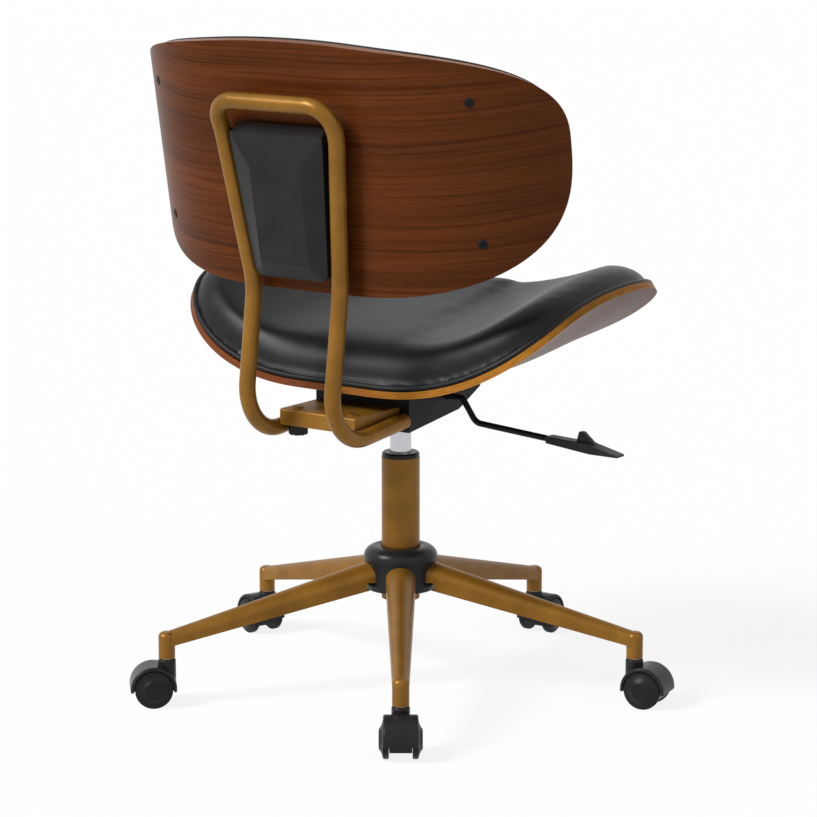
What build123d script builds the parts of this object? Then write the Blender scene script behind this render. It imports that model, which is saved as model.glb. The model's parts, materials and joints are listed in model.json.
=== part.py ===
from build123d import *
import os
from math import atan, cos, radians, sin, tan

os.makedirs("parts", exist_ok=True)

# Swivel office chair: bent plywood seat and back with leather pads, bent tube back frame, gas column,
# five leg base on twin wheel casters. Millimetres and degrees. The chair faces -Y, +Z is up, and the
# origin is on the floor under the column.

# Fits and clearances
running_fit = 0.05
pad_clearance = 0.3
seat_gap = 0.3
pan_gap = 0.4
cover_gap = 0.5

# Casters: twin wheels under a hood, trailing behind an upright stem
wheel_radius = 24.5
wheel_inner = 14.5
wheel_tread = 6.5
wheel_outer = 27.0
wheel_face_radius = 12.0
wheel_edge = 1.2
rim_groove = 1.0
axle_radius = 4.0
axle_half = 23.0
caster_offset = 18.0
hood_side_gap = 0.5
hood_wheel_gap = 1.3
hood_wall = 4.2
fender_half = 21.75
fender_reach = 3.0
fender_round = 2.5
web_inset = 1.0
web_reach = 12.0
neck_radius = 11.5
neck_rise = 36.5
stem_radius = 5.5
stem_collar_radius = 8.5
stem_collar = 1.0
stem_in_hood = 20.0
stem_in_leg = 27.0

# Base: five hollow legs on a hub ring, with a moulded cover
leg_count = 5
first_leg_angle = 126.0
caster_turns = (0.0, -7.0, 2.0, -2.0, -11.0)
stem_circle = 317.0
leg_wall = 2.0
hub_radius = 31.0
leg_root = 24.0
leg_root_half = 20.0
leg_root_rise = 0.4
leg_root_depth = 34.5
leg_tip_half = 10.25
leg_tip_rise = 35.4
leg_tip_depth = 18.4
leg_boss_radius = 10.7
leg_boss_round = 7.0
leg_cavity_end = 292.0
leg_cavity_floor = 8.0
leg_step_radius = 52.0
leg_step = 5.0
mitre_gap = 0.2
hub_top = 174.0
hub_depth = 36.0
hub_cover_radius = 48.5
hub_cover_rise = 14.5
hub_cover_ring = 33.0
hub_cover_depth = 47.0
hub_cover_bottom_radius = 45.5
hub_cover_wall = 2.5

# Column: outer tube, guide sleeve, gas cylinder, piston rod
column_radius = 25.0
column_wall = 2.0
column_foot = 56.0
column_floor = 4.0
sleeve_length = 100.0
collar_height = 6.5
collar_radius = 24.6
collar_chamfer = 2.0
rod_radius = 5.0
rod_foot = 7.0
bearing_radius = 14.0
bearing_height = 6.0
shoulder_radius = 9.0
shoulder_height = 4.0
bumper_radius = 12.0
bumper_height = 12.0
clip_radius = 8.0
clip_thickness = 1.5
clip_groove = 0.8
piston_drop = 4.0
piston_height = 12.0
cylinder_radius = 14.0
cylinder_wall = 2.5
cylinder_end = 12.0
cylinder_top = 382.5
cylinder_reach = 75.5
taper_length = 36.5
taper_top_radius = 13.2
release_pin_radius = 4.0
release_pin_depth = 12.0
release_pin_round = 2.5
release_gap = 0.15

# Seat mechanism: pressed tub, top plate, taper socket, lever
tub_half = 74.0
tub_wall = 2.5
tub_rear = 84.0
tub_rear_drop = 22.5
tub_knee = -27.0
tub_knee_drop = 8.5
tub_toe = -74.0
tub_toe_rise = 14.5
tub_lip = 6.0
plate_thickness = 3.0
plate_corner = 12.0
socket_radius = 19.0
tongue_half = 54.0
tongue_rear = 172.0
tongue_rise = 6.0
tongue_thickness = 4.0
seat_bolt_x = 50.0
seat_bolt_front = -45.0
seat_bolt_rear = 70.0
bolt_radius = 3.0
bolt_head_radius = 5.0
bolt_head = 4.0
seat_bolt_grip = 7.0
lever_radius = 4.0
lever_rise = 13.0
lever_inner_end = 9.0
lever_pivot_x = -40.0
lever_pivot_radius = 2.0
lever_pivot_half = 11.0
lever_throw = 5.0
lug_gap = 2.0
lug_thickness = 3.0
lug_half = 6.0
lever_shoulder_x = -98.0
lever_shoulder_round = 9.0
lever_knee_x = -119.0
lever_knee_drop = 30.0
lever_knee_round = 16.0
lever_end_x = -250.0
lever_end_drop = 39.0
grip_start_x = -231.0
grip_body_x = -296.0
grip_tip_x = -338.0
grip_height = 13.0
grip_width = 17.0
grip_tip_height = 3.0
grip_tip_drop = 2.0
grip_round = 2.0
fin_rise = 20.0
fin_foot = 24.0
fin_thickness = 6.0

# Back frame: one bent tube, bracket and clamp knobs
tube_radius = 10.5
tube_wall = 1.5
tube_half_span = 67.0
tube_run_drop = 16.5
tube_run_fall = 16.0
tube_heel_y = 244.0
heel_round = 60.0
lumbar_rise = 136.3
lumbar_round = 130.0
tube_shoulder_half = 88.3
tube_shoulder_along = 25.0
shoulder_round = 65.0
tube_top_half = 88.0
tube_top_along = 66.5
tube_top_back = 12.0
top_round = 31.0
bracket_rear = 179.0
bracket_gap = 0.5
bracket_sheet = 3.0
bracket_flange = 20.5
bracket_inset = 8.0
knob_x = 43.0
knob_y = 162.0
knob_radius = 12.5
knob_height = 23.0
knob_boss_radius = 9.0
knob_boss = 3.5
knob_flutes = 8
knob_flute_radius = 3.5
knob_chamfer = 1.5
stud_radius = 4.0
stud_hole_gap = 0.5
nut_radius = 7.0
nut_height = 2.5

# Back shell: flat centre and two bent sides, leaning back
back_lean = 10.0
back_y = 230.4
back_rise_above_seat = 309.8
back_flat_half = 95.0
back_bend_radius = 244.0
back_half_length = 375.0
back_rise = 135.4
back_drop = 182.0
back_rise_power = 2.24
back_drop_power = 2.94
back_sheet = 12.0
back_frame_gap = 18.0
back_pad = 40.0
back_pad_inset = 2.0
back_screw_along = 251.0
back_screw_high = 61.4
back_screw_low = -114.8
back_screw_head = 4.8
back_screw_proud = 0.8
back_screw_shank = 2.2
back_screw_length = 10.0
back_plate_sheet = 4.0
back_plate_high = 24.0
back_plate_low = -150.0
back_plate_saddle = 0.4
back_bolt_x = 42.0
back_bolt_high = 10.0
back_bolt_low = -110.0
back_boss_radius = 8.0
back_bolt_grip = 8.0
cover_high = 26.5
cover_low = -158.0
cover_lip = 7.5
cover_lip_inset = 3.0
cover_rim = 8.0
cover_raise = 18.0
cover_face_half = 38.0
cover_face_high = -14.0
cover_face_low = -137.0
cover_wall = 2.5
cover_high_corner = 4.0
cover_low_corner = 14.0
cover_face_corner = 3.0
cover_high_gap = 6.0
cover_low_gap = 2.0

# Seat shell: flat pan with wings that rise to the sides
seat_half = 294.0
seat_wide_y = 5.0
seat_rear = 142.0
seat_front = -242.0
seat_rear_power = 3.4
seat_front_power = 4.4
seat_sheet = 9.0
seat_rise = 37.2
seat_flat_half = 60.0
seat_wing_rise = 119.0
seat_wing_lean = -38.0
seat_wing_fall = -36.0
seat_wing_power = 1.78
seat_wing_power_lean = 0.45
seat_wing_power_least = 1.4
seat_wing_scale = 200.0
seat_front_rise = 17.0
seat_front_bend = -60.0
seat_rear_rise = 3.0
seat_rear_bend = 80.0
seat_pad = 75.0
seat_pad_lean = -34.0
seat_pad_inset = 4.0
seat_pad_rim = 22.0
seat_pad_thin = 15.0
seat_pad_skirt = 6.0
seat_pad_bulge = 2.0
seat_pad_dish = 3.0
slab_stations = 11
seat_pad_shoulder = 0.62
seat_pad_hollow = 0.3
pad_end_power = 6.0
back_pad_front = 0.85
back_pad_side = 0.3
back_pad_side_rise = 0.6


# Derived places shared by several pieces
leg_angles = [first_leg_angle + number * 360 / leg_count for number in range(leg_count)]
hood_radius = wheel_radius + hood_wheel_gap + hood_wall
fender_low = wheel_radius - fender_reach
web_radius = wheel_radius - web_inset
web_low = wheel_radius - web_reach
hood_top = wheel_radius + neck_rise
socket_bottom = hood_top + stem_collar + seat_gap
leg_root_top = hub_top + leg_root_rise
leg_root_bottom = hub_top - leg_root_depth
leg_tip_top = hood_top + leg_tip_rise
leg_tip_bottom = leg_tip_top - leg_tip_depth
hub_bottom = hub_top - hub_depth
hub_cover_top = hub_top + hub_cover_rise
hub_cover_shoulder = hub_top
hub_cover_bottom = hub_top - hub_cover_depth
column_bottom = hub_top - column_foot
rod_bottom = column_bottom - rod_foot
column_top = cylinder_top - cylinder_reach
sleeve_bottom = column_top - sleeve_length
piston_top = column_top - piston_drop
taper_start = cylinder_top - taper_length
seat_top = cylinder_top + seat_rise
tub_top = seat_top - seat_sheet - pan_gap - plate_thickness
tub_rear_bottom = cylinder_top - tub_rear_drop
tub_knee_bottom = cylinder_top - tub_knee_drop
tub_toe_bottom = cylinder_top + tub_toe_rise
tongue_top = cylinder_top + tongue_rise
lever_height = cylinder_top + lever_rise
lever_knee_z = lever_height - lever_knee_drop
lever_end_z = lever_height - lever_end_drop
bracket_top = tongue_top + bracket_gap + bracket_sheet
bracket_half = tube_half_span - bracket_inset
tube_run_height = bracket_top - tube_run_drop
lumbar_height = seat_top + lumbar_rise
back_z = seat_top + back_rise_above_seat
bearing_top = column_bottom + column_floor + bearing_height
shoulder_top = bearing_top + seat_gap + shoulder_height
cylinder_bottom = shoulder_top + bumper_height + seat_gap
lean = radians(back_lean)
back_up = Vector(0, sin(lean), cos(lean))
back_forward = Vector(0, -cos(lean), sin(lean))
back_origin = Vector(0, back_y, back_z)
tube_origin = back_origin - back_forward * back_frame_gap
frame_plane = Plane(tube_origin, x_dir=(-1, 0, 0), z_dir=-back_forward)
lumbar_along = (lumbar_height - tube_origin.Z) / cos(lean)
lumbar_y = tube_origin.Y + lumbar_along * sin(lean)
tube_splay = (tube_shoulder_half - tube_half_span) / (tube_shoulder_along - lumbar_along)


def tube_half_at(along):
    """Half the distance between the two uprights' centre lines at a height along the leaning frame."""
    return tube_half_span + (along - lumbar_along) * tube_splay


def arch(half, bottom, top):
    """A leg's cross section: flat below, straight sides, half round above."""
    with BuildSketch() as section:
        with BuildLine():
            Polyline((-half, top - half), (-half, bottom), (half, bottom), (half, top - half))
            ThreePointArc((half, top - half), (0, top), (-half, top - half))
        make_face()
    return section.sketch


# Caster pieces, made once about the stem axis with the wheels trailing along +X
axle_line = Axis((caster_offset, 0, wheel_radius), (0, 1, 0))
axle_plane = Plane((caster_offset, 0, wheel_radius), x_dir=(0, 1, 0), z_dir=(1, 0, 0))

with BuildPart() as wheel:
    tread_end = wheel_inner + wheel_tread
    bore = axle_radius + running_fit
    bore_end = axle_half + running_fit
    with BuildSketch(axle_plane):
        with BuildLine():
            Polyline(
                (wheel_inner, bore),
                (wheel_inner, wheel_radius - wheel_edge),
                (wheel_inner + wheel_edge, wheel_radius),
                (tread_end, wheel_radius),
                (tread_end, wheel_radius - rim_groove),
                (tread_end + rim_groove, wheel_radius - rim_groove),
                (tread_end + rim_groove, wheel_radius - 2 * rim_groove),
            )
            RadiusArc(
                (tread_end + rim_groove, wheel_radius - 2 * rim_groove),
                (wheel_outer, wheel_face_radius),
                -wheel_radius,
            )
            Polyline(
                (wheel_outer, wheel_face_radius),
                (wheel_outer, 0),
                (bore_end, 0),
                (bore_end, bore),
                (wheel_inner, bore),
            )
        make_face()
    revolve(axis=axle_line)

with BuildPart() as axle:
    with BuildSketch(Plane.XZ):
        with Locations((caster_offset, wheel_radius)):
            Circle(axle_radius)
    extrude(amount=axle_half - running_fit, both=True)

with BuildPart() as stem:
    with BuildSketch(Plane.XY.offset(hood_top - stem_in_hood)):
        Circle(stem_radius)
    extrude(amount=stem_in_hood + stem_collar + seat_gap + stem_in_leg)
    with BuildSketch(Plane.XY.offset(hood_top)):
        Circle(stem_collar_radius)
    extrude(amount=stem_collar)

with BuildPart() as hood:
    web_half = wheel_inner - hood_side_gap
    with BuildSketch(Plane.XZ):
        with Locations((caster_offset, wheel_radius)):
            Circle(hood_radius)
        with Locations((-neck_radius, fender_low)):
            Rectangle(
                2 * hood_radius + 2 * neck_radius,
                2 * hood_radius,
                align=(Align.MIN, Align.MIN),
                mode=Mode.INTERSECT,
            )
    extrude(amount=fender_half, both=True)
    rim_edges = hood.edges().filter_by(GeomType.CIRCLE)
    fillet(rim_edges, fender_round)
    for side in (1, -1):
        with BuildSketch(Plane.XZ.offset(side * web_half)):
            with Locations((caster_offset, wheel_radius)):
                Circle(wheel_radius + hood_wheel_gap)
        extrude(amount=side * wheel_outer, mode=Mode.SUBTRACT)
    with BuildSketch(Plane.XZ):
        with Locations((caster_offset, wheel_radius)):
            Circle(web_radius)
        with Locations((-neck_radius, web_low)):
            Rectangle(
                2 * hood_radius + 2 * neck_radius,
                wheel_radius,
                align=(Align.MIN, Align.MIN),
                mode=Mode.INTERSECT,
            )
    extrude(amount=web_half, both=True)
    with BuildSketch(Plane.XY.offset(wheel_radius)):
        Circle(neck_radius)
    extrude(amount=hood_top - wheel_radius)
    fillet(hood.faces().sort_by(Axis.Z)[-1].edges(), fender_round)
    with BuildSketch(Plane.XY.offset(hood_top - stem_in_hood)):
        Circle(stem_radius)
    extrude(amount=stem_in_hood, mode=Mode.SUBTRACT)
    add(axle.part, mode=Mode.SUBTRACT)

with BuildPart() as other_wheel:
    mirror(wheel.part, about=Plane.XZ)

# One leg, made along +X
with BuildPart() as leg:
    with BuildSketch(Plane.YZ.offset(leg_root)):
        add(arch(leg_root_half, leg_root_bottom, leg_root_top))
    with BuildSketch(Plane.YZ.offset(stem_circle)):
        add(arch(leg_tip_half, leg_tip_bottom, leg_tip_top))
    loft()
    boss_top = leg_tip_top + leg_boss_radius - leg_tip_half
    with BuildSketch(Plane.XZ):
        with BuildLine():
            Polyline(
                (stem_circle, boss_top),
                (stem_circle, socket_bottom),
                (stem_circle + leg_boss_radius, socket_bottom),
                (stem_circle + leg_boss_radius, boss_top - leg_boss_round),
            )
            RadiusArc(
                (stem_circle + leg_boss_radius, boss_top - leg_boss_round),
                (stem_circle + leg_boss_radius - leg_boss_round, boss_top),
                -leg_boss_round,
            )
            Line((stem_circle + leg_boss_radius - leg_boss_round, boss_top), (stem_circle, boss_top))
        make_face()
    revolve(axis=Axis((stem_circle, 0, 0), (0, 0, 1)))
    with BuildSketch(Plane.YZ.offset(leg_root)):
        add(arch(leg_root_half - leg_wall, leg_root_bottom + leg_cavity_floor, leg_root_top - leg_wall))
    cavity = (leg_cavity_end - leg_root) / (stem_circle - leg_root)
    with BuildSketch(Plane.YZ.offset(leg_cavity_end)):
        add(
            arch(
                leg_root_half + cavity * (leg_tip_half - leg_root_half) - leg_wall,
                leg_root_bottom + cavity * (leg_tip_bottom - leg_root_bottom) + leg_wall,
                leg_root_top + cavity * (leg_tip_top - leg_root_top) - leg_wall,
            )
        )
    loft(mode=Mode.SUBTRACT)
    with Locations((leg_step_radius, 0, leg_root_bottom)):
        Box(
            leg_step_radius,
            2 * leg_root_half,
            2 * leg_step,
            align=(Align.MAX, Align.CENTER, Align.CENTER),
            mode=Mode.SUBTRACT,
        )
    with BuildSketch(Plane.XY.offset(socket_bottom)):
        with Locations((stem_circle, 0)):
            Circle(stem_radius + running_fit)
    extrude(amount=stem_in_leg + seat_gap, mode=Mode.SUBTRACT)
    mitre = tan(radians(180 / leg_count))
    reach = stem_circle + leg_root_half
    with BuildSketch():
        Polygon(
            (mitre_gap / mitre, 0),
            (reach, reach * mitre - mitre_gap),
            (reach, mitre_gap - reach * mitre),
            align=None,
        )
    extrude(amount=leg_root_top, mode=Mode.INTERSECT)
    with BuildSketch():
        Circle(hub_radius)
    extrude(amount=leg_root_top, mode=Mode.SUBTRACT)

for number, (leg_angle, turn) in enumerate(zip(leg_angles, caster_turns), start=1):
    leg_place = Location((0, 0, 0), (0, 0, leg_angle))
    with BuildPart() as base_leg:
        add(leg.part.moved(leg_place))
    base_leg.part.label = f"base_leg_{number}"
    export_step(base_leg.part, f"parts/base_leg_{number}.step")

    stem_x = stem_circle * cos(radians(leg_angle))
    stem_y = stem_circle * sin(radians(leg_angle))
    caster_place = Location((stem_x, stem_y, 0), (0, 0, leg_angle + turn))
    caster_pieces = {
        "hood": hood,
        "stem": stem,
        "axle": axle,
        "wheel_left": wheel,
        "wheel_right": other_wheel,
    }
    for piece, master in caster_pieces.items():
        with BuildPart() as caster_piece:
            add(master.part.moved(caster_place))
        caster_piece.part.label = f"caster_{number}_{piece}"
        export_step(caster_piece.part, f"parts/caster_{number}_{piece}.step")

with BuildPart() as base_hub:
    with BuildSketch(Plane.XY.offset(hub_bottom)):
        Circle(hub_radius)
        Circle(column_radius, mode=Mode.SUBTRACT)
    extrude(amount=hub_top - hub_bottom)
base_hub.part.label = "base_hub"
export_step(base_hub.part, "parts/base_hub.step")

with BuildPart() as leg_opening:
    leg_rate = 1 / (stem_circle - leg_root)
    for radius in (hub_radius, 2 * hub_radius):
        share = (radius - leg_root) * leg_rate
        with BuildSketch(Plane.YZ.offset(radius)):
            add(
                arch(
                    leg_root_half + share * (leg_tip_half - leg_root_half) + cover_gap,
                    hub_cover_bottom - cover_gap,
                    leg_root_top + share * (leg_tip_top - leg_root_top) + cover_gap,
                )
            )
    loft()

with BuildPart() as hub_cover:
    cover_bore = column_radius + cover_gap
    inner_ring = hub_cover_ring - hub_cover_wall / 2
    with BuildSketch(Plane.XZ):
        with BuildLine():
            Line((cover_bore, hub_cover_top), (hub_cover_ring, hub_cover_top))
            TangentArc(
                (hub_cover_ring, hub_cover_top),
                (hub_cover_radius, hub_cover_shoulder),
                tangent=(1, 0),
            )
            Polyline(
                (hub_cover_radius, hub_cover_shoulder),
                (hub_cover_bottom_radius, hub_cover_bottom),
                (hub_cover_bottom_radius - hub_cover_wall, hub_cover_bottom),
                (hub_cover_radius - hub_cover_wall, hub_cover_shoulder),
            )
            TangentArc(
                (inner_ring, hub_cover_top - hub_cover_wall),
                (hub_cover_radius - hub_cover_wall, hub_cover_shoulder),
                tangent=(1, 0),
            )
            Polyline(
                (inner_ring, hub_cover_top - hub_cover_wall),
                (cover_bore, hub_cover_top - hub_cover_wall),
                (cover_bore, hub_cover_top),
            )
        make_face()
    revolve(axis=Axis.Z)
    with PolarLocations(0, leg_count, start_angle=first_leg_angle):
        add(leg_opening.part, mode=Mode.SUBTRACT)
hub_cover.part.label = "hub_cover"
export_step(hub_cover.part, "parts/hub_cover.step")

# Column
with BuildPart() as column_tube:
    with BuildSketch(Plane.XY.offset(column_bottom)):
        Circle(column_radius)
    extrude(amount=column_top - column_bottom)
    with BuildSketch(Plane.XY.offset(column_bottom + column_floor)):
        Circle(column_radius - column_wall)
    extrude(amount=column_top - column_bottom, mode=Mode.SUBTRACT)
    with BuildSketch(Plane.XY.offset(column_bottom)):
        Circle(rod_radius + running_fit)
    extrude(amount=column_floor, mode=Mode.SUBTRACT)
column_tube.part.label = "column_tube"
export_step(column_tube.part, "parts/column_tube.step")

with BuildPart() as guide_sleeve:
    with BuildSketch(Plane.XY.offset(sleeve_bottom)):
        Circle(column_radius - column_wall)
    extrude(amount=column_top - sleeve_bottom)
    with BuildSketch(Plane.XY.offset(column_top)):
        Circle(collar_radius)
    extrude(amount=collar_height)
    chamfer(guide_sleeve.faces().sort_by(Axis.Z)[-1].edges(), collar_chamfer)
    with BuildSketch(Plane.XY.offset(sleeve_bottom)):
        Circle(cylinder_radius + running_fit)
    extrude(amount=column_top - sleeve_bottom + collar_height, mode=Mode.SUBTRACT)
guide_sleeve.part.label = "guide_sleeve"
export_step(guide_sleeve.part, "parts/guide_sleeve.step")

with BuildPart() as thrust_bearing:
    with BuildSketch(Plane.XY.offset(column_bottom + column_floor)):
        Circle(bearing_radius)
        Circle(rod_radius + running_fit, mode=Mode.SUBTRACT)
    extrude(amount=bearing_height)
thrust_bearing.part.label = "thrust_bearing"
export_step(thrust_bearing.part, "parts/thrust_bearing.step")

clip_top = column_bottom - seat_gap

with BuildPart() as piston_rod:
    with BuildSketch(Plane.XY.offset(rod_bottom)):
        Circle(rod_radius)
    extrude(amount=piston_top - rod_bottom)
    with BuildSketch(Plane.XY.offset(clip_top)):
        Circle(rod_radius)
        Circle(rod_radius - clip_groove, mode=Mode.SUBTRACT)
    extrude(amount=-clip_thickness, mode=Mode.SUBTRACT)
    with BuildSketch(Plane.XY.offset(bearing_top + seat_gap)):
        Circle(shoulder_radius)
    extrude(amount=shoulder_height)
    with BuildSketch(Plane.XY.offset(piston_top)):
        Circle(cylinder_radius - cylinder_wall - running_fit)
    extrude(amount=-piston_height)
piston_rod.part.label = "piston_rod"
export_step(piston_rod.part, "parts/piston_rod.step")

with BuildPart() as retaining_clip:
    with BuildSketch(Plane.XY.offset(clip_top)):
        Circle(clip_radius)
        Circle(rod_radius - clip_groove, mode=Mode.SUBTRACT)
        Rectangle(
            clip_radius,
            2 * (rod_radius - clip_groove) * sin(radians(60)),
            align=(Align.MIN, Align.CENTER),
            mode=Mode.SUBTRACT,
        )
    extrude(amount=-clip_thickness)
retaining_clip.part.label = "retaining_clip"
export_step(retaining_clip.part, "parts/retaining_clip.step")

with BuildPart() as rubber_bumper:
    with BuildSketch(Plane.XY.offset(shoulder_top)):
        Circle(bumper_radius)
        Circle(rod_radius, mode=Mode.SUBTRACT)
    extrude(amount=bumper_height)
rubber_bumper.part.label = "rubber_bumper"
export_step(rubber_bumper.part, "parts/rubber_bumper.step")

with BuildPart() as cylinder_body:
    with BuildSketch(Plane.XZ):
        Polygon(
            (0, cylinder_bottom),
            (cylinder_radius, cylinder_bottom),
            (cylinder_radius, taper_start),
            (taper_top_radius, cylinder_top),
            (0, cylinder_top),
            align=None,
        )
    revolve(axis=Axis.Z)

with BuildPart() as gas_cylinder:
    add(cylinder_body.part)
    with BuildSketch(Plane.XY.offset(cylinder_bottom + cylinder_end)):
        Circle(cylinder_radius - cylinder_wall)
    chamber_top = cylinder_top - release_pin_depth - cylinder_wall
    extrude(amount=chamber_top - cylinder_bottom - cylinder_end, mode=Mode.SUBTRACT)
    with BuildSketch(Plane.XY.offset(cylinder_bottom)):
        Circle(rod_radius + running_fit)
    extrude(amount=cylinder_end, mode=Mode.SUBTRACT)
    with BuildSketch(Plane.XY.offset(cylinder_top - release_pin_depth)):
        Circle(release_pin_radius + running_fit)
    extrude(amount=release_pin_depth, mode=Mode.SUBTRACT)
gas_cylinder.part.label = "gas_cylinder"
export_step(gas_cylinder.part, "parts/gas_cylinder.step")

pin_top = lever_height - lever_radius - release_gap
pin_travel = abs(lever_pivot_x) * sin(radians(lever_throw))
pin_bottom = cylinder_top - release_pin_depth + pin_travel + seat_gap

with BuildPart() as release_pin:
    with BuildSketch(Plane.XY.offset(pin_bottom)):
        Circle(release_pin_radius)
    extrude(amount=pin_top - pin_bottom)
    fillet(release_pin.faces().sort_by(Axis.Z)[-1].edges(), release_pin_round)
release_pin.part.label = "release_pin"
export_step(release_pin.part, "parts/release_pin.step")

# Seat mechanism
with BuildPart() as taper_socket:
    with BuildSketch(Plane.XY.offset(taper_start)):
        Circle(socket_radius)
    extrude(amount=cylinder_top - taper_start)
    add(cylinder_body.part, mode=Mode.SUBTRACT)
taper_socket.part.label = "taper_socket"
export_step(taper_socket.part, "parts/taper_socket.step")

with BuildPart() as mechanism_tub:
    with BuildSketch(Plane.YZ):
        Polygon(
            (tub_rear, tub_top),
            (tub_rear, tub_rear_bottom),
            (tub_knee, tub_knee_bottom),
            (tub_toe, tub_toe_bottom),
            (tub_toe - tub_lip, tub_top),
            align=None,
        )
    extrude(amount=tub_half, both=True)
    offset(amount=-tub_wall, openings=mechanism_tub.faces().sort_by(Axis.Z)[-1])
    floor_slope = (tub_knee_bottom - tub_rear_bottom) / (tub_rear - tub_knee)
    floor_height = tub_rear_bottom + tub_rear * floor_slope
    for side in (1, -1):
        lug_y = side * (lever_radius + lug_gap + lug_thickness / 2)
        lug_foot = floor_height + tub_wall / 2
        with Locations((lever_pivot_x, lug_y, lug_foot)):
            Box(
                2 * lug_half,
                lug_thickness,
                lever_height + lug_half / 2 - lug_foot,
                align=(Align.CENTER, Align.CENTER, Align.MIN),
            )
    with Locations((0, tub_rear - tub_wall, tongue_top)):
        Box(
            2 * tongue_half,
            tongue_rear - tub_rear + tub_wall,
            tongue_thickness,
            align=(Align.CENTER, Align.MIN, Align.MAX),
        )
    with BuildSketch(Plane.XY.offset(tongue_top)):
        with GridLocations(2 * knob_x, 0, 2, 1):
            with Locations((0, knob_y)):
                Circle(stud_radius + stud_hole_gap)
    extrude(amount=-tongue_thickness, mode=Mode.SUBTRACT)
    with BuildSketch(Plane.XY.offset(tub_rear_bottom - tub_wall)):
        Circle(socket_radius)
    extrude(amount=tub_top - tub_rear_bottom, mode=Mode.SUBTRACT)
    slot_rise = (tub_half + lever_pivot_x) * tan(radians(lever_throw))
    with BuildSketch(Plane.YZ.offset(-tub_half)):
        with Locations((0, lever_height + slot_rise / 2)):
            SlotCenterToCenter(
                slot_rise + 2 * cover_gap,
                2 * (lever_radius + cover_gap),
                rotation=90,
            )
    extrude(amount=tub_wall, mode=Mode.SUBTRACT)
    with BuildSketch(Plane.XZ):
        with Locations((lever_pivot_x, lever_height)):
            Circle(lever_pivot_radius)
    extrude(amount=lever_pivot_half, both=True, mode=Mode.SUBTRACT)
mechanism_tub.part.label = "mechanism_tub"
export_step(mechanism_tub.part, "parts/mechanism_tub.step")

with BuildPart() as lever_pivot:
    with BuildSketch(Plane.XZ):
        with Locations((lever_pivot_x, lever_height)):
            Circle(lever_pivot_radius)
    extrude(amount=lever_pivot_half, both=True)
lever_pivot.part.label = "lever_pivot"
export_step(lever_pivot.part, "parts/lever_pivot.step")

with BuildPart() as lever_rod:
    with BuildLine(Plane.XZ) as lever_path:
        FilletPolyline(
            (lever_inner_end, lever_height),
            (lever_shoulder_x, lever_height),
            (lever_knee_x, lever_knee_z),
            (lever_end_x, lever_end_z),
            radius=(lever_shoulder_round, lever_knee_round),
        )
    with BuildSketch(Plane.YZ.offset(lever_inner_end)):
        with Locations((0, lever_height)):
            Circle(lever_radius)
    sweep(path=lever_path.line)
    with BuildSketch(Plane.XZ):
        with Locations((lever_pivot_x, lever_height)):
            Circle(lever_pivot_radius + running_fit)
    extrude(amount=lever_pivot_half, both=True, mode=Mode.SUBTRACT)
lever_rod.part.label = "lever_rod"
export_step(lever_rod.part, "parts/lever_rod.step")

grip_slope = (lever_knee_z - lever_end_z) / (lever_knee_x - lever_end_x)


def grip_line(x):
    """Height of the lever's outer run at x, also beyond the rod's end."""
    return lever_end_z + (x - lever_end_x) * grip_slope


with BuildPart() as lever_grip:
    tip_middle = grip_line(grip_tip_x) - grip_tip_drop
    fin_base = grip_line(grip_body_x)
    fin_start_x = grip_body_x + fin_foot
    with BuildSketch(Plane.XZ):
        Polygon(
            (grip_start_x, grip_line(grip_start_x) - grip_height / 2 + grip_round),
            (grip_start_x, grip_line(grip_start_x) + grip_height / 2 - grip_round),
            (grip_body_x, fin_base + grip_height / 2),
            (grip_tip_x, tip_middle + grip_tip_height / 2),
            (grip_tip_x, tip_middle - grip_tip_height / 2),
            (grip_body_x, fin_base - grip_height / 2),
            align=None,
        )
    extrude(amount=grip_width / 2, both=True)
    fillet(lever_grip.edges(), grip_tip_height / 3)
    with BuildSketch(Plane.XZ) as fin:
        Polygon(
            (fin_start_x, fin_base),
            (fin_start_x - fin_thickness, fin_base + fin_rise),
            (fin_start_x - 2 * fin_thickness, fin_base + fin_rise),
            (grip_body_x - fin_foot / 2, fin_base),
            align=None,
        )
        fillet(fin.vertices().group_by(Axis.Y)[-1], grip_round)
    extrude(amount=fin_thickness / 2, both=True)
    add(lever_rod.part, mode=Mode.SUBTRACT)
lever_grip.part.label = "lever_grip"
export_step(lever_grip.part, "parts/lever_grip.step")

plate_length = tub_rear - tub_toe + tub_lip
plate_middle = (tub_rear + tub_toe - tub_lip) / 2
seat_bolt_span = seat_bolt_rear - seat_bolt_front
seat_bolt_middle = (seat_bolt_rear + seat_bolt_front) / 2

with BuildPart() as seat_bolts:
    with BuildSketch(Plane.XY.offset(tub_top)):
        with Locations((0, seat_bolt_middle)):
            with GridLocations(2 * seat_bolt_x, seat_bolt_span, 2, 2):
                Circle(bolt_radius)
    extrude(amount=plate_thickness + pan_gap + seat_bolt_grip)
    with BuildSketch(Plane.XY.offset(tub_top)):
        with Locations((0, seat_bolt_middle)):
            with GridLocations(2 * seat_bolt_x, seat_bolt_span, 2, 2):
                RegularPolygon(bolt_head_radius, 6)
    extrude(amount=-bolt_head)
seat_bolts.part.label = "seat_bolts"
export_step(seat_bolts.part, "parts/seat_bolts.step")

with BuildPart() as seat_plate:
    with BuildSketch(Plane.XY.offset(tub_top)):
        with Locations((0, plate_middle)):
            RectangleRounded(2 * tub_half, plate_length, plate_corner)
    extrude(amount=plate_thickness)
    add(seat_bolts.part, mode=Mode.SUBTRACT)
seat_plate.part.label = "seat_plate"
export_step(seat_plate.part, "parts/seat_plate.step")

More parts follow.
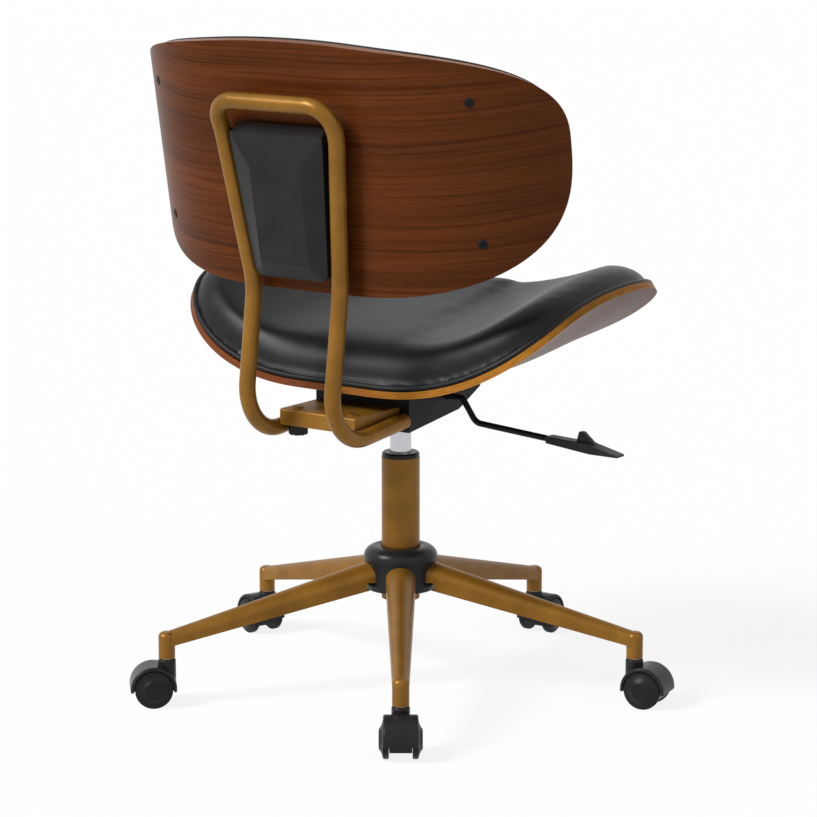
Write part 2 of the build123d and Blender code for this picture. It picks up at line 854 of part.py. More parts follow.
# Back frame, bracket and knobs
tube_start = tub_rear + tube_radius * tube_run_fall / (tube_heel_y - tub_rear)
shoulder = tube_origin + back_up * tube_shoulder_along
tube_top = tube_origin + back_up * tube_top_along - back_forward * tube_top_back
upright = [
    (tube_half_span, tube_start, tube_run_height),
    (tube_half_span, tube_heel_y, tube_run_height - tube_run_fall),
    (tube_half_span, lumbar_y, lumbar_height),
    (tube_shoulder_half, shoulder.Y, shoulder.Z),
    (tube_top_half, tube_top.Y, tube_top.Z),
]
bends = [heel_round, lumbar_round, shoulder_round, top_round]
run_start = Plane(
    (tube_half_span, tube_start, tube_run_height),
    x_dir=(1, 0, 0),
    z_dir=(0, tube_heel_y - tube_start, -tube_run_fall),
)

with BuildPart() as back_frame:
    with BuildLine() as tube_path:
        FilletPolyline(
            *upright,
            *[(-x, y, z) for x, y, z in reversed(upright)],
            radius=bends + bends[::-1],
        )
    with BuildSketch(run_start):
        Circle(tube_radius)
        Circle(tube_radius - tube_wall, mode=Mode.SUBTRACT)
    sweep(path=tube_path.line)
back_frame.part.label = "back_frame"
export_step(back_frame.part, "parts/back_frame.step")

with BuildPart() as tube_envelope:
    with BuildSketch(run_start):
        Circle(tube_radius)
    sweep(path=tube_path.line)

with BuildPart() as frame_bracket:
    with BuildSketch(Plane.XY.offset(bracket_top)):
        with Locations((0, tub_rear)):
            Rectangle(
                2 * bracket_half,
                bracket_rear - tub_rear,
                align=(Align.CENTER, Align.MIN),
            )
    extrude(amount=-bracket_flange)
    with BuildSketch(Plane.XY.offset(bracket_top - bracket_sheet)):
        with Locations((0, tub_rear)):
            Rectangle(
                2 * (bracket_half - bracket_sheet),
                bracket_rear - bracket_sheet - tub_rear,
                align=(Align.CENTER, Align.MIN),
            )
    extrude(amount=-bracket_flange, mode=Mode.SUBTRACT)
    fold_edges = frame_bracket.faces().sort_by(Axis.Z)[-1].edges().sort_by(Axis.Y)[-1]
    fillet(fold_edges, bracket_sheet)
    with BuildSketch(Plane.XY.offset(bracket_top)):
        with Locations((0, knob_y)):
            with GridLocations(2 * knob_x, 0, 2, 1):
                RegularPolygon(nut_radius, 6)
    extrude(amount=nut_height)
    with BuildSketch(Plane.XY.offset(bracket_top - bracket_sheet)):
        with Locations((0, knob_y)):
            with GridLocations(2 * knob_x, 0, 2, 1):
                Circle(stud_radius + running_fit)
    extrude(amount=bracket_sheet + nut_height, mode=Mode.SUBTRACT)
    add(tube_envelope.part, mode=Mode.SUBTRACT)
frame_bracket.part.label = "frame_bracket"
export_step(frame_bracket.part, "parts/frame_bracket.step")

knob_top = tongue_top - tongue_thickness - seat_gap

for side, side_name in ((1, "left"), (-1, "right")):
    with BuildPart() as clamp_knob:
        with BuildSketch(Plane.XY.offset(knob_top - knob_boss)):
            with Locations((side * knob_x, knob_y)):
                Circle(knob_radius)
                with PolarLocations(knob_radius + knob_flute_radius / 2, knob_flutes):
                    Circle(knob_flute_radius, mode=Mode.SUBTRACT)
        extrude(amount=-knob_height)
        chamfer(clamp_knob.faces().sort_by(Axis.Z)[0].edges(), knob_chamfer)
        with BuildSketch(Plane.XY.offset(knob_top - knob_boss)):
            with Locations((side * knob_x, knob_y)):
                Circle(knob_boss_radius)
        extrude(amount=knob_boss)
        with BuildSketch(Plane.XY.offset(knob_top)):
            with Locations((side * knob_x, knob_y)):
                Circle(stud_radius)
        extrude(amount=bracket_top + nut_height - knob_top)
    clamp_knob.part.label = f"clamp_knob_{side_name}"
    export_step(clamp_knob.part, f"parts/clamp_knob_{side_name}.step")

# Back shell and its pad
def back_frame_at(along):
    """Plane across the back shell at a distance along its bend: x up the lean, y forward."""
    side = 1 if along > 0 else -1
    bent = max(0.0, abs(along) - back_flat_half)
    angle = bent / back_bend_radius
    across = side * (min(abs(along), back_flat_half) + back_bend_radius * sin(angle))
    forward = back_bend_radius * (1 - cos(angle))
    centre = back_origin + Vector(across, 0, 0) + back_forward * forward
    tangent = Vector(cos(angle), 0, 0) + back_forward * (side * sin(angle))
    return Plane(centre, x_dir=back_up, z_dir=tangent)


def back_reach(along, rise, power, inset):
    """Height of the shell's outline above or below its middle line at a distance along the bend."""
    share = abs(along) / back_half_length
    return (rise - inset) * (1 - share**power) ** (1 / power)


back_shares = (0.0, 0.13, 0.253, 0.42, 0.58, 0.72, 0.84, 0.92, 0.97, 0.995)
back_stations = [-share * back_half_length for share in reversed(back_shares[1:])]
back_stations += [share * back_half_length for share in back_shares]

with BuildPart() as back_screws:
    for along in (-back_screw_along, back_screw_along):
        for height in (back_screw_high, back_screw_low):
            place = back_frame_at(along)
            driver = Plane(
                place.origin + back_up * height,
                x_dir=back_up,
                z_dir=place.y_dir,
            )
            with BuildSketch(driver):
                Circle(back_screw_head)
            extrude(amount=-back_screw_proud)
            with BuildSketch(driver):
                Circle(back_screw_head)
            with BuildSketch(driver.offset(back_screw_head - back_screw_shank)):
                Circle(back_screw_shank)
            loft()
            with BuildSketch(driver):
                Circle(back_screw_shank)
            extrude(amount=back_screw_length)
back_screws.part.label = "back_screws"
export_step(back_screws.part, "parts/back_screws.step")

plate_rear_n = back_plate_saddle - tube_radius
plate_front_n = plate_rear_n - back_plate_sheet
bolt_middle = (back_bolt_high + back_bolt_low) / 2
bolt_span = back_bolt_high - back_bolt_low
boss_height = back_frame_gap + plate_front_n

with BuildPart() as back_bolts:
    with BuildSketch(frame_plane.offset(plate_rear_n)):
        with Locations((0, bolt_middle)):
            with GridLocations(2 * back_bolt_x, bolt_span, 2, 2):
                Circle(bolt_radius)
    extrude(amount=-(back_plate_sheet + boss_height + back_bolt_grip))
    with BuildSketch(frame_plane.offset(plate_rear_n)):
        with Locations((0, bolt_middle)):
            with GridLocations(2 * back_bolt_x, bolt_span, 2, 2):
                RegularPolygon(bolt_head_radius, 6)
    extrude(amount=bolt_head)
back_bolts.part.label = "back_bolts"
export_step(back_bolts.part, "parts/back_bolts.step")

with BuildPart() as back_plate:
    with BuildSketch(frame_plane.offset(plate_rear_n)):
        Polygon(
            (-tube_half_at(back_plate_high), back_plate_high),
            (tube_half_at(back_plate_high), back_plate_high),
            (tube_half_at(back_plate_low), back_plate_low),
            (-tube_half_at(back_plate_low), back_plate_low),
            align=None,
        )
    extrude(amount=-back_plate_sheet)
    with BuildSketch(frame_plane.offset(plate_front_n)):
        with Locations((0, bolt_middle)):
            with GridLocations(2 * back_bolt_x, bolt_span, 2, 2):
                Circle(back_boss_radius)
    extrude(amount=-boss_height + seat_gap)
    add(tube_envelope.part, mode=Mode.SUBTRACT)
    add(back_bolts.part, mode=Mode.SUBTRACT)
back_plate.part.label = "back_plate"
export_step(back_plate.part, "parts/back_plate.step")


def cover_outline(high, half_high, low, half_low, high_corner, low_corner):
    """The cover's outline at one depth: narrower at the bottom, with rounded corners."""
    with BuildSketch() as outline:
        Polygon((half_high, high), (-half_high, high), (-half_low, low), (half_low, low), align=None)
        fillet(outline.vertices().group_by(Axis.Y)[-1], high_corner)
        fillet(outline.vertices().group_by(Axis.Y)[0], low_corner)
    return outline.sketch


with BuildPart() as back_cover:
    for wall in (0.0, cover_wall):
        high = cover_high - wall
        low = cover_low + wall
        half_high = tube_half_at(cover_high) - tube_radius - cover_high_gap - wall
        half_low = tube_half_at(cover_low) - tube_radius - cover_low_gap - wall
        face_half = cover_face_half - wall / 2
        corners = (cover_high_corner, cover_low_corner)
        face_corners = (cover_face_corner, cover_face_corner)
        lip = (high + cover_lip, half_high - cover_lip_inset, low, half_low)
        ridge = (high, half_high, low, half_low)
        face = (cover_face_high, face_half, cover_face_low, face_half)
        shape = Mode.SUBTRACT if wall else Mode.ADD
        with BuildSketch(frame_plane.offset(plate_rear_n)):
            add(cover_outline(*lip, *corners))
        with BuildSketch(frame_plane.offset(cover_rim - wall / 2)):
            add(cover_outline(*ridge, *corners))
        loft(mode=shape)
        with BuildSketch(frame_plane.offset(cover_rim - wall / 2)):
            add(cover_outline(*ridge, *corners))
        with BuildSketch(frame_plane.offset(cover_raise - wall)):
            add(cover_outline(*face, *face_corners))
        loft(mode=shape)
back_cover.part.label = "back_cover"
export_step(back_cover.part, "parts/back_cover.step")

with BuildPart() as back_shell:
    for along in back_stations:
        high = back_reach(along, back_rise, back_rise_power, 0)
        low = back_reach(along, back_drop, back_drop_power, 0)
        with BuildSketch(back_frame_at(along)):
            with Locations(((high - low) / 2, back_sheet / 2)):
                Rectangle(high + low, back_sheet)
    loft()
    add(back_screws.part, mode=Mode.SUBTRACT)
    add(back_bolts.part, mode=Mode.SUBTRACT)
back_shell.part.label = "back_shell"
export_step(back_shell.part, "parts/back_shell.step")

with BuildPart() as back_cushion:
    for along in back_stations:
        high = back_reach(along, back_rise, back_rise_power, back_pad_inset)
        low = back_reach(along, back_drop, back_drop_power, back_pad_inset)
        share = abs(along) / back_half_length
        crown = back_pad * (1 - share**pad_end_power) ** 0.5
        side = min(crown, (high + low) / 4)
        back = back_sheet + pad_clearance
        front = back + back_pad_front * crown
        with BuildSketch(back_frame_at(along)):
            with BuildLine():
                Line((high, back), (-low, back))
                ThreePointArc(
                    (-low, back),
                    (back_pad_side * side - low, back + back_pad_side_rise * crown),
                    (side - low, front),
                )
                ThreePointArc(
                    (side - low, front),
                    ((high - low) / 2, back + crown),
                    (high - side, front),
                )
                ThreePointArc(
                    (high - side, front),
                    (high - back_pad_side * side, back + back_pad_side_rise * crown),
                    (high, back),
                )
            make_face()
    loft()
back_cushion.part.label = "back_cushion"
export_step(back_cushion.part, "parts/back_cushion.step")


# Seat shell and its pad
def seat_form(x, y):
    """Height of the seat shell's upper face and its slope across the seat."""
    step = (y - seat_wide_y) / seat_wing_scale
    front = max(0.0, (seat_front_bend - y) / (seat_front_bend - seat_front))
    rear = max(0.0, (y - seat_rear_bend) / (seat_rear - seat_rear_bend))
    pan = seat_top + seat_front_rise * front**2 + seat_rear_rise * rear**2
    rise = seat_wing_rise + seat_wing_lean * step + seat_wing_fall * step**2
    power = max(seat_wing_power_least, seat_wing_power + seat_wing_power_lean * step)
    wing = max(0.0, abs(x) - seat_flat_half) / (seat_half - seat_flat_half)
    side = 1 if x > 0 else -1
    slope = side * rise * power * wing ** (power - 1) / (seat_half - seat_flat_half)
    return pan + rise * wing**power, slope


def seat_slab(upper, lower):
    """A bent slab wider than the seat, between two offsets square to the seat's upper face."""
    slab_half = seat_half + 2 * seat_sheet
    columns = [slab_half * share for share in (-1, -0.82, -0.6, -0.45, -0.32, -0.2, -0.1)]
    columns += [0.0] + [-x for x in reversed(columns)]
    with BuildPart() as slab:
        for number in range(slab_stations):
            share = number / (slab_stations - 1)
            y = seat_rear + seat_sheet + share * (seat_front - seat_rear - 2 * seat_sheet)
            above = []
            below = []
            for x in columns:
                height, slope = seat_form(x, y)
                angle = atan(slope)
                above.append((x - upper * sin(angle), height + upper * cos(angle)))
                below.append((x - lower * sin(angle), height + lower * cos(angle)))
            with BuildSketch(Plane.XZ.offset(-y)):
                with BuildLine():
                    Spline(*above)
                    Line(above[-1], below[-1])
                    Spline(*reversed(below))
                    Line(below[0], above[0])
                make_face()
        loft()
    return slab.part


def seat_outline(level):
    """The seat's outline where cuts square to the bent sheet, through its upper edge, meet a level."""
    shares = (0.0, 0.35, 0.62, 0.8, 0.91, 0.97, 0.995)
    right = []
    for side, length, power in (
        (1, seat_rear - seat_wide_y, seat_rear_power),
        (-1, seat_wide_y - seat_front, seat_front_power),
    ):
        for share in shares[::-side]:
            x = seat_half * (1 - share**power) ** (1 / power)
            y = seat_wide_y + side * share * length
            height, slope = seat_form(x, y)
            right.append((x + slope * (height - level), y))
    del right[len(shares)]
    points = [(0, seat_rear)] + right + [(0, seat_front)]
    points += [(-x, y) for x, y in reversed(right)]
    with BuildSketch(Plane.XY.offset(level)) as outline:
        with BuildLine():
            Spline(*points, periodic=True)
        make_face()
    return outline.sketch


with BuildPart() as seat_trim:
    add(seat_outline(seat_top - 2 * seat_sheet))
    add(seat_outline(seat_top + seat_wing_rise + 2 * seat_sheet))
    loft()

with BuildPart() as seat_shell:
    add(seat_slab(0, -seat_sheet))
    add(seat_trim.part, mode=Mode.INTERSECT)
    add(seat_bolts.part, mode=Mode.SUBTRACT)
seat_shell.part.label = "seat_shell"
export_step(seat_shell.part, "parts/seat_shell.step")

with BuildPart() as seat_cushion:
    rear_length = seat_rear - seat_pad_inset - seat_wide_y
    front_length = seat_wide_y - seat_front - seat_pad_inset
    stations = [(share, rear_length, seat_rear_power) for share in (0.985, 0.93, 0.8, 0.5)]
    stations += [(share, -front_length, seat_front_power) for share in (0.0, 0.3, 0.6, 0.8, 0.92, 0.985)]
    for share, length, power in stations:
        y = seat_wide_y + share * length
        half = (seat_half - seat_pad_inset) * (1 - share**power) ** (1 / power)
        step = (y - seat_wide_y) / seat_wing_scale
        pad = (seat_pad + seat_pad_lean * step) * (1 - share**pad_end_power) ** 0.5
        rim = min(seat_pad_rim, 0.7 * pad)
        edge = seat_form(half, y)[0]
        pan = seat_form(0, y)[0]
        below = seat_form(half / 2, y)[0] - 2 * seat_sheet
        flank = half - rim / 3
        shoulder = seat_pad_shoulder * half
        hollow = seat_pad_hollow * half
        dish = seat_form(hollow, y)[0] + pad
        crest = seat_form(shoulder, y)[0] + pad - min(seat_pad_thin, pad / 4)
        with BuildSketch(Plane.XZ.offset(-y)):
            with BuildLine():
                for side in (1, -1):
                    ThreePointArc(
                        (0, pan - seat_sheet),
                        (side * half / 2, below),
                        (side * half, edge - seat_pad_skirt),
                    )
                    ThreePointArc(
                        (side * half, edge - seat_pad_skirt),
                        (side * (half + seat_pad_bulge), edge + rim / 2),
                        (side * flank, edge + rim),
                    )
                    ThreePointArc(
                        (side * flank, edge + rim),
                        (side * shoulder, crest),
                        (side * hollow, dish),
                    )
                ThreePointArc((hollow, dish), (0, pan + pad - seat_pad_dish), (-hollow, dish))
            make_face()
    loft()
    add(seat_slab(pad_clearance, -seat_wing_rise), mode=Mode.SUBTRACT)
seat_cushion.part.label = "seat_cushion"
export_step(seat_cushion.part, "parts/seat_cushion.step")
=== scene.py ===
import json
import math

import bmesh
import bpy
import numpy
from bpy.props import FloatProperty, FloatVectorProperty, PointerProperty
from mathutils import Matrix, Vector


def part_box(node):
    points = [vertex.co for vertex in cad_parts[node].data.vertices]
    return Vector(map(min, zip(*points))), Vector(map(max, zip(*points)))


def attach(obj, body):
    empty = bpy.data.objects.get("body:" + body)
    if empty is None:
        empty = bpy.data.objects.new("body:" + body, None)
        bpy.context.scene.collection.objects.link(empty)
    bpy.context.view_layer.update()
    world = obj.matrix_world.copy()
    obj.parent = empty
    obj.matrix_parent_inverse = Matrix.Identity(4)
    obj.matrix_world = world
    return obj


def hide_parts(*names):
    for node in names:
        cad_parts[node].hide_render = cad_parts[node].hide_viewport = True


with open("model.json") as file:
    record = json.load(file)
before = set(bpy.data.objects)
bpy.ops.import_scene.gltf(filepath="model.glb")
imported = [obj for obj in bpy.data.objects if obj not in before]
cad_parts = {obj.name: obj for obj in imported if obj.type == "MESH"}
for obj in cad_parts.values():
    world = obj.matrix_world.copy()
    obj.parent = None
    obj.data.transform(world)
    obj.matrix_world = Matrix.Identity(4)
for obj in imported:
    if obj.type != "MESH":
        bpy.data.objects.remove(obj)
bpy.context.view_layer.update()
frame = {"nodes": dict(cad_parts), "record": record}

bl_info = {
    "name": "Walnut swivel chair",
    "version": (1, 0, 0),
    "blender": (4, 5, 0),
    "location": "3D View > Sidebar > Chair",
    "description": "Leather pads, piping, finishes and studio for a swivel chair with a bent walnut seat and back",
    "category": "Object",
}

# Form of the bent shells, in metres, as the solids have it
SEAT_HALF = 0.294
SEAT_WIDE_Y = 0.005
SEAT_REAR = 0.142
SEAT_FRONT = -0.242
SEAT_REAR_POWER = 3.4
SEAT_FRONT_POWER = 4.4
SEAT_SHEET = 0.009
SEAT_TOP = 0.4197
SEAT_FLAT_HALF = 0.060
SEAT_WING_RISE = 0.119
SEAT_WING_LEAN = -0.038
SEAT_WING_FALL = -0.036
SEAT_WING_POWER = 1.78
SEAT_WING_POWER_LEAN = 0.45
SEAT_WING_POWER_LEAST = 1.4
SEAT_WING_SCALE = 0.2
SEAT_FRONT_RISE = 0.017
SEAT_FRONT_BEND = -0.060
SEAT_REAR_RISE = 0.003
SEAT_REAR_BEND = 0.080
BACK_LEAN = math.radians(10)
BACK_ORIGIN = Vector((0, 0.2304, 0.7295))
BACK_FLAT_HALF = 0.095
BACK_BEND = 0.244
BACK_HALF_LENGTH = 0.375
BACK_RISE = 0.1354
BACK_DROP = 0.182
BACK_RISE_POWER = 2.24
BACK_DROP_POWER = 2.94
BACK_SHEET = 0.012
BACK_UP = Vector((0, math.sin(BACK_LEAN), math.cos(BACK_LEAN)))
BACK_FORWARD = Vector((0, -math.cos(BACK_LEAN), math.sin(BACK_LEAN)))

# Fineness of the meshes
RIM_POINTS = 120
FINE_STEPS = 40
SLOPE_STEP = 0.001
BACK_RINGS = 30
COVER_SIDES = 96
SCREW_SIDES = 40

# Rings of the seat pad, as shares of its outline, and the turn between rings on its roll, in degrees
PAD_BASE_SHARES = (0.2, 0.4, 0.6, 0.8, 0.93, 1.0)
PAD_TOP_SHARES = (0.9, 0.75, 0.6, 0.45, 0.3, 0.15)
ROLL_STEP = 8

# How the pads are softened and blown up
SOFTEN_STEPS = (0.5, -0.52) * 60
SPREAD_STEPS = (0.5,) * 160
DRAW_IN = 0.6
HELD_WIDTH = 0.8
CLOTH_FRAMES = 20
CLOTH_SETTINGS = {
    "quality": 4,
    "mass": 0.3,
    "tension_stiffness": 30,
    "compression_stiffness": 30,
    "bending_stiffness": 8,
    "use_pressure": True,
    "uniform_pressure_force": 4.0,
    "vertex_group_mass": "held",
}

# Piping: inset from the wood's edge and height above it, in radii
SEAT_PIPING_INSET = 1.1
BACK_PIPING_INSET = 0.7
PIPING_HEIGHT = 0.9

# Hub cover: flat share of its crown, and its skirt as (share of the waist, share of the rise)
COVER_FLAT = 0.3
COVER_TURN = 15
COVER_SKIRT = ((0.1, 0.2), (0.55, 0.55), (0.9, 1.0), (1.0, 1.5))
COVER_LIP = 0.001

# Back screws, in radii of the head: profile as (radius, height), and the recess
SCREW_PROFILE = ((0.45, -1.0), (1.0, 0.0), (1.0, 0.08), (0.93, 0.15), (0.6, 0.2))
SLOT_HALF_WIDTH = 0.13
SLOT_HALF_LENGTH = 0.62
SLOT_HALF_HEIGHT = 0.3
SLOT_MIDDLE = 0.32
UPPER_SCREW_TURN = 0.3
LOWER_SCREW_TURN = 1.1

BACK_CHAMFER = 0.0006
SHARP_ANGLE = math.radians(35)

# Sun lamps: heading, height and softness in degrees
KEY_LAMP = (62, 40, 22)
FILL_LAMP = (176, 25, 45)
LAMP_DISTANCE = 4
FLOOR_REACH = 30.0
SENSOR = 36.0


def seat_height(x, y):
    """Height of the seat shell's upper face at a point of its plan."""
    step = (y - SEAT_WIDE_Y) / SEAT_WING_SCALE
    front = max(0.0, (SEAT_FRONT_BEND - y) / (SEAT_FRONT_BEND - SEAT_FRONT))
    rear = max(0.0, (y - SEAT_REAR_BEND) / (SEAT_REAR - SEAT_REAR_BEND))
    pan = SEAT_TOP + SEAT_FRONT_RISE * front**2 + SEAT_REAR_RISE * rear**2
    rise = SEAT_WING_RISE + SEAT_WING_LEAN * step + SEAT_WING_FALL * step**2
    power = max(SEAT_WING_POWER_LEAST, SEAT_WING_POWER + SEAT_WING_POWER_LEAN * step)
    wing = max(0.0, abs(x) - SEAT_FLAT_HALF) / (SEAT_HALF - SEAT_FLAT_HALF)
    return pan + rise * wing**power


def seat_normal(x, y):
    """Which way the seat shell's upper face looks."""
    step = SLOPE_STEP
    across = (seat_height(x + step, y) - seat_height(x - step, y)) / (2 * step)
    along = (seat_height(x, y + step) - seat_height(x, y - step)) / (2 * step)
    return Vector((-across, -along, 1)).normalized()


def rounded_rim(angle, half, rear, front, rear_power, front_power):
    """A point on a superellipse whose rear and front halves differ."""
    c, s = math.cos(angle), math.sin(angle)
    power = rear_power if s > 0 else front_power
    reach = rear if s > 0 else front
    x = math.copysign(half * abs(c) ** (2 / power), c)
    y = math.copysign(reach * abs(s) ** (2 / power), s)
    return x, y


def seat_rim(angle, inset):
    """Plan point of the seat's outline from its widest line, drawn in by an inset."""
    return rounded_rim(
        angle,
        SEAT_HALF - inset,
        SEAT_REAR - SEAT_WIDE_Y - inset,
        SEAT_WIDE_Y - SEAT_FRONT - inset,
        SEAT_REAR_POWER,
        SEAT_FRONT_POWER,
    )


def back_rim(angle, inset):
    """Point of the back's outline, as distance along the bend and height up the lean."""
    return rounded_rim(
        angle,
        BACK_HALF_LENGTH - inset,
        BACK_RISE - inset,
        BACK_DROP - inset,
        BACK_RISE_POWER,
        BACK_DROP_POWER,
    )


def back_point(along, height, depth):
    """Place on the back: along the bend, up the lean and forward from the wood's rear face."""
    side = 1 if along > 0 else -1
    angle = max(0.0, abs(along) - BACK_FLAT_HALF) / BACK_BEND
    reach = BACK_BEND - depth
    across = side * (min(abs(along), BACK_FLAT_HALF) + reach * math.sin(angle))
    forward = BACK_BEND - reach * math.cos(angle)
    return BACK_ORIGIN + Vector((across, 0, 0)) + BACK_UP * height + BACK_FORWARD * forward


def even_angles(rim, count):
    """Angles that walk round an outline in even steps."""
    total = FINE_STEPS * count
    fine = [math.tau * k / total for k in range(total + 1)]
    places = [Vector(rim(a)) for a in fine]
    lengths = [0.0]
    for a, b in zip(places, places[1:]):
        lengths.append(lengths[-1] + (b - a).length)
    angles = []
    cursor = 0
    for k in range(count):
        goal = lengths[-1] * k / count
        while lengths[cursor + 1] < goal:
            cursor += 1
        angles.append(fine[cursor])
    return angles


def new_piece(name, data, body, material):
    """Link a finished piece, name its finish and let it ride on its body."""
    piece = bpy.data.objects.new(name, data)
    bpy.context.scene.collection.objects.link(piece)
    piece.data.materials.append(material)
    if piece.type == "MESH":
        for polygon in piece.data.polygons:
            polygon.use_smooth = True
    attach(piece, body)
    return piece


def evaluated_mesh(obj):
    """The mesh an object has with its modifiers."""
    bpy.context.view_layer.update()
    graph = bpy.context.evaluated_depsgraph_get()
    return bpy.data.meshes.new_from_object(obj.evaluated_get(graph))


def face_outward(mesh):
    """Turn all faces of a closed mesh outward."""
    block = bmesh.new()
    block.from_mesh(mesh)
    bmesh.ops.recalc_face_normals(block, faces=block.faces)
    block.to_mesh(mesh)
    block.free()


def ringed_mesh(name, start, rings, end):
    """A closed mesh from a start point through rings of points to an end point."""
    count = len(rings[0])
    points = [start] + [point for ring in rings for point in ring] + [end]
    last = 1 + count * (len(rings) - 1)
    faces = []
    for k in range(count):
        n = (k + 1) % count
        faces.append((0, 1 + n, 1 + k))
        for low in range(1, last, count):
            faces.append((low + k, low + n, low + count + n, low + count + k))
        faces.append((last + k, last + n, len(points) - 1))
    mesh = bpy.data.meshes.new(name)
    mesh.from_pydata([tuple(point) for point in points], [], faces)
    return mesh


def turned_mesh(name, profile, count):
    """A closed ring of (radius, height) points turned round the column."""
    points = []
    faces = []
    size = len(profile)
    for k in range(count):
        angle = math.tau * k / count
        points += [(r * math.cos(angle), r * math.sin(angle), z) for r, z in profile]
        n = (k + 1) % count
        for i in range(size):
            j = (i + 1) % size
            faces.append((k * size + i, k * size + j, n * size + j, n * size + i))
    mesh = bpy.data.meshes.new(name)
    mesh.from_pydata(points, [], faces)
    face_outward(mesh)
    return mesh


def solid_mesh(node):
    """A joined copy of a solid's mesh."""
    block = bmesh.new()
    block.from_mesh(frame["nodes"][node].data)
    bmesh.ops.remove_doubles(block, verts=block.verts, dist=1e-5)
    mesh = bpy.data.meshes.new(node + "_copy")
    block.to_mesh(mesh)
    block.free()
    return mesh


def seat_pad_mesh(sizes):
    """A pad for the seat: flat below, a round roll along its edge, deep in the middle, thin on the wings."""

    def rim(angle):
        return seat_rim(angle, sizes.seat_inset)

    def place(angle, share, lift):
        x, y = (share * c for c in rim(angle))
        wing = max(0.0, abs(x) - SEAT_FLAT_HALF) / (SEAT_HALF - SEAT_FLAT_HALF)
        middle = sizes.seat_pad - sizes.seat_pad_lean * y / SEAT_WING_SCALE
        depth = middle + (sizes.wing_pad - middle) * min(1.0, wing)
        y += SEAT_WIDE_Y
        rise = seat_normal(x, y) * (sizes.pad_clearance + depth * lift)
        return Vector((x, y, seat_height(x, y))) + rise

    def roll_of(angle):
        s = math.sin(angle)
        end_roll = sizes.rear_roll if s > 0 else sizes.front_roll
        return sizes.roll + (end_roll - sizes.roll) * s * s

    angles = even_angles(rim, RIM_POINTS)
    rings = [[place(a, share, 0.0) for a in angles] for share in PAD_BASE_SHARES]
    for turn in range(ROLL_STEP, 91, ROLL_STEP):
        t = math.radians(turn)
        ring = []
        for a in angles:
            inward = roll_of(a) * (1 - math.cos(t)) - sizes.bulge * math.sin(2 * t)
            ring.append(place(a, 1 - inward / Vector(rim(a)).length, math.sin(t)))
        rings.append(ring)
    for share in PAD_TOP_SHARES:
        rings.append([place(a, (1 - roll_of(a) / Vector(rim(a)).length) * share, 1.0) for a in angles])
    return ringed_mesh("seat_pad", place(0.0, 0.0, 0.0), rings, place(0.0, 0.0, 1.0))


def back_shell_mesh():
    """The bent back sheet with an even outline and a small chamfer round its edge."""
    angles = even_angles(lambda a: back_rim(a, 0.0), 2 * RIM_POINTS)
    inner = [back_rim(a, BACK_CHAMFER) for a in angles]

    def face(depth, share):
        return [back_point(share * along, share * height, depth) for along, height in inner]

    rings = [face(0.0, k / BACK_RINGS) for k in range(1, BACK_RINGS + 1)]
    for depth in (BACK_CHAMFER, BACK_SHEET - BACK_CHAMFER):
        rings.append([back_point(*back_rim(a, 0.0), depth) for a in angles])
    rings += [face(BACK_SHEET, k / BACK_RINGS) for k in range(BACK_RINGS, 0, -1)]
    mesh = ringed_mesh("back_veneer", back_point(0.0, 0.0, 0.0), rings, back_point(0.0, 0.0, BACK_SHEET))
    face_outward(mesh)
    return mesh


def screw_mesh(head):
    """A countersunk screw head with a cross recess."""
    count = SCREW_SIDES
    turns = [math.tau * k / count for k in range(count)]
    points = [
        (radius * head * math.cos(t), radius * head * math.sin(t), height * head)
        for radius, height in SCREW_PROFILE
        for t in turns
    ]
    top = count * (len(SCREW_PROFILE) - 1)
    faces = [tuple(range(count))[::-1], tuple(range(top, top + count))]
    for low in range(0, top, count):
        for k in range(count):
            n = (k + 1) % count
            faces.append((low + k, low + n, low + count + n, low + count + k))
    blank = bpy.data.meshes.new("screw_blank")
    blank.from_pydata(points, [], faces)
    stand = bpy.data.objects.new("screw_blank", blank)
    bpy.context.scene.collection.objects.link(stand)

    spares = [stand]
    for x, y in ((SLOT_HALF_WIDTH, SLOT_HALF_LENGTH), (SLOT_HALF_LENGTH, SLOT_HALF_WIDTH)):
        block = bmesh.new()
        bmesh.ops.create_cube(block, size=2.0)
        bmesh.ops.scale(block, vec=(x * head, y * head, SLOT_HALF_HEIGHT * head), verts=block.verts)
        bmesh.ops.translate(block, vec=(0, 0, SLOT_MIDDLE * head), verts=block.verts)
        mesh = bpy.data.meshes.new("screw_slot")
        block.to_mesh(mesh)
        block.free()
        cutter = bpy.data.objects.new("screw_slot", mesh)
        bpy.context.scene.collection.objects.link(cutter)
        spares.append(cutter)
        cut = stand.modifiers.new("slot", "BOOLEAN")
        cut.object = cutter
        cut.solver = "EXACT"
    screw = evaluated_mesh(stand)
    for spare in spares:
        bpy.data.objects.remove(spare)
    return screw


def eased(share):
    """0 below 0, 1 above 1 and smooth between."""
    share = min(1.0, max(0.0, share))
    return share * share * (3 - 2 * share)


def coordinates(mesh):
    """The points of a mesh as rows of x, y and z."""
    flat = numpy.empty(3 * len(mesh.vertices))
    mesh.vertices.foreach_get("co", flat)
    return flat.reshape(-1, 3)


def move_points(mesh, rows):
    """Put the points of a mesh at rows of x, y and z."""
    mesh.vertices.foreach_set("co", rows.ravel())
    mesh.update()


def relaxed(rows, edges, freedom, steps):
    """Move each row toward the mean of its neighbours, or away from it where a step is negative."""
    first, second = edges[:, 0], edges[:, 1]
    degree = numpy.bincount(edges.ravel(), minlength=len(rows))[:, None]
    rows = rows.copy()
    for step in steps:
        total = numpy.zeros_like(rows)
        numpy.add.at(total, first, rows[second])
        numpy.add.at(total, second, rows[first])
        rows += step * freedom * (total / degree - rows)
    return rows


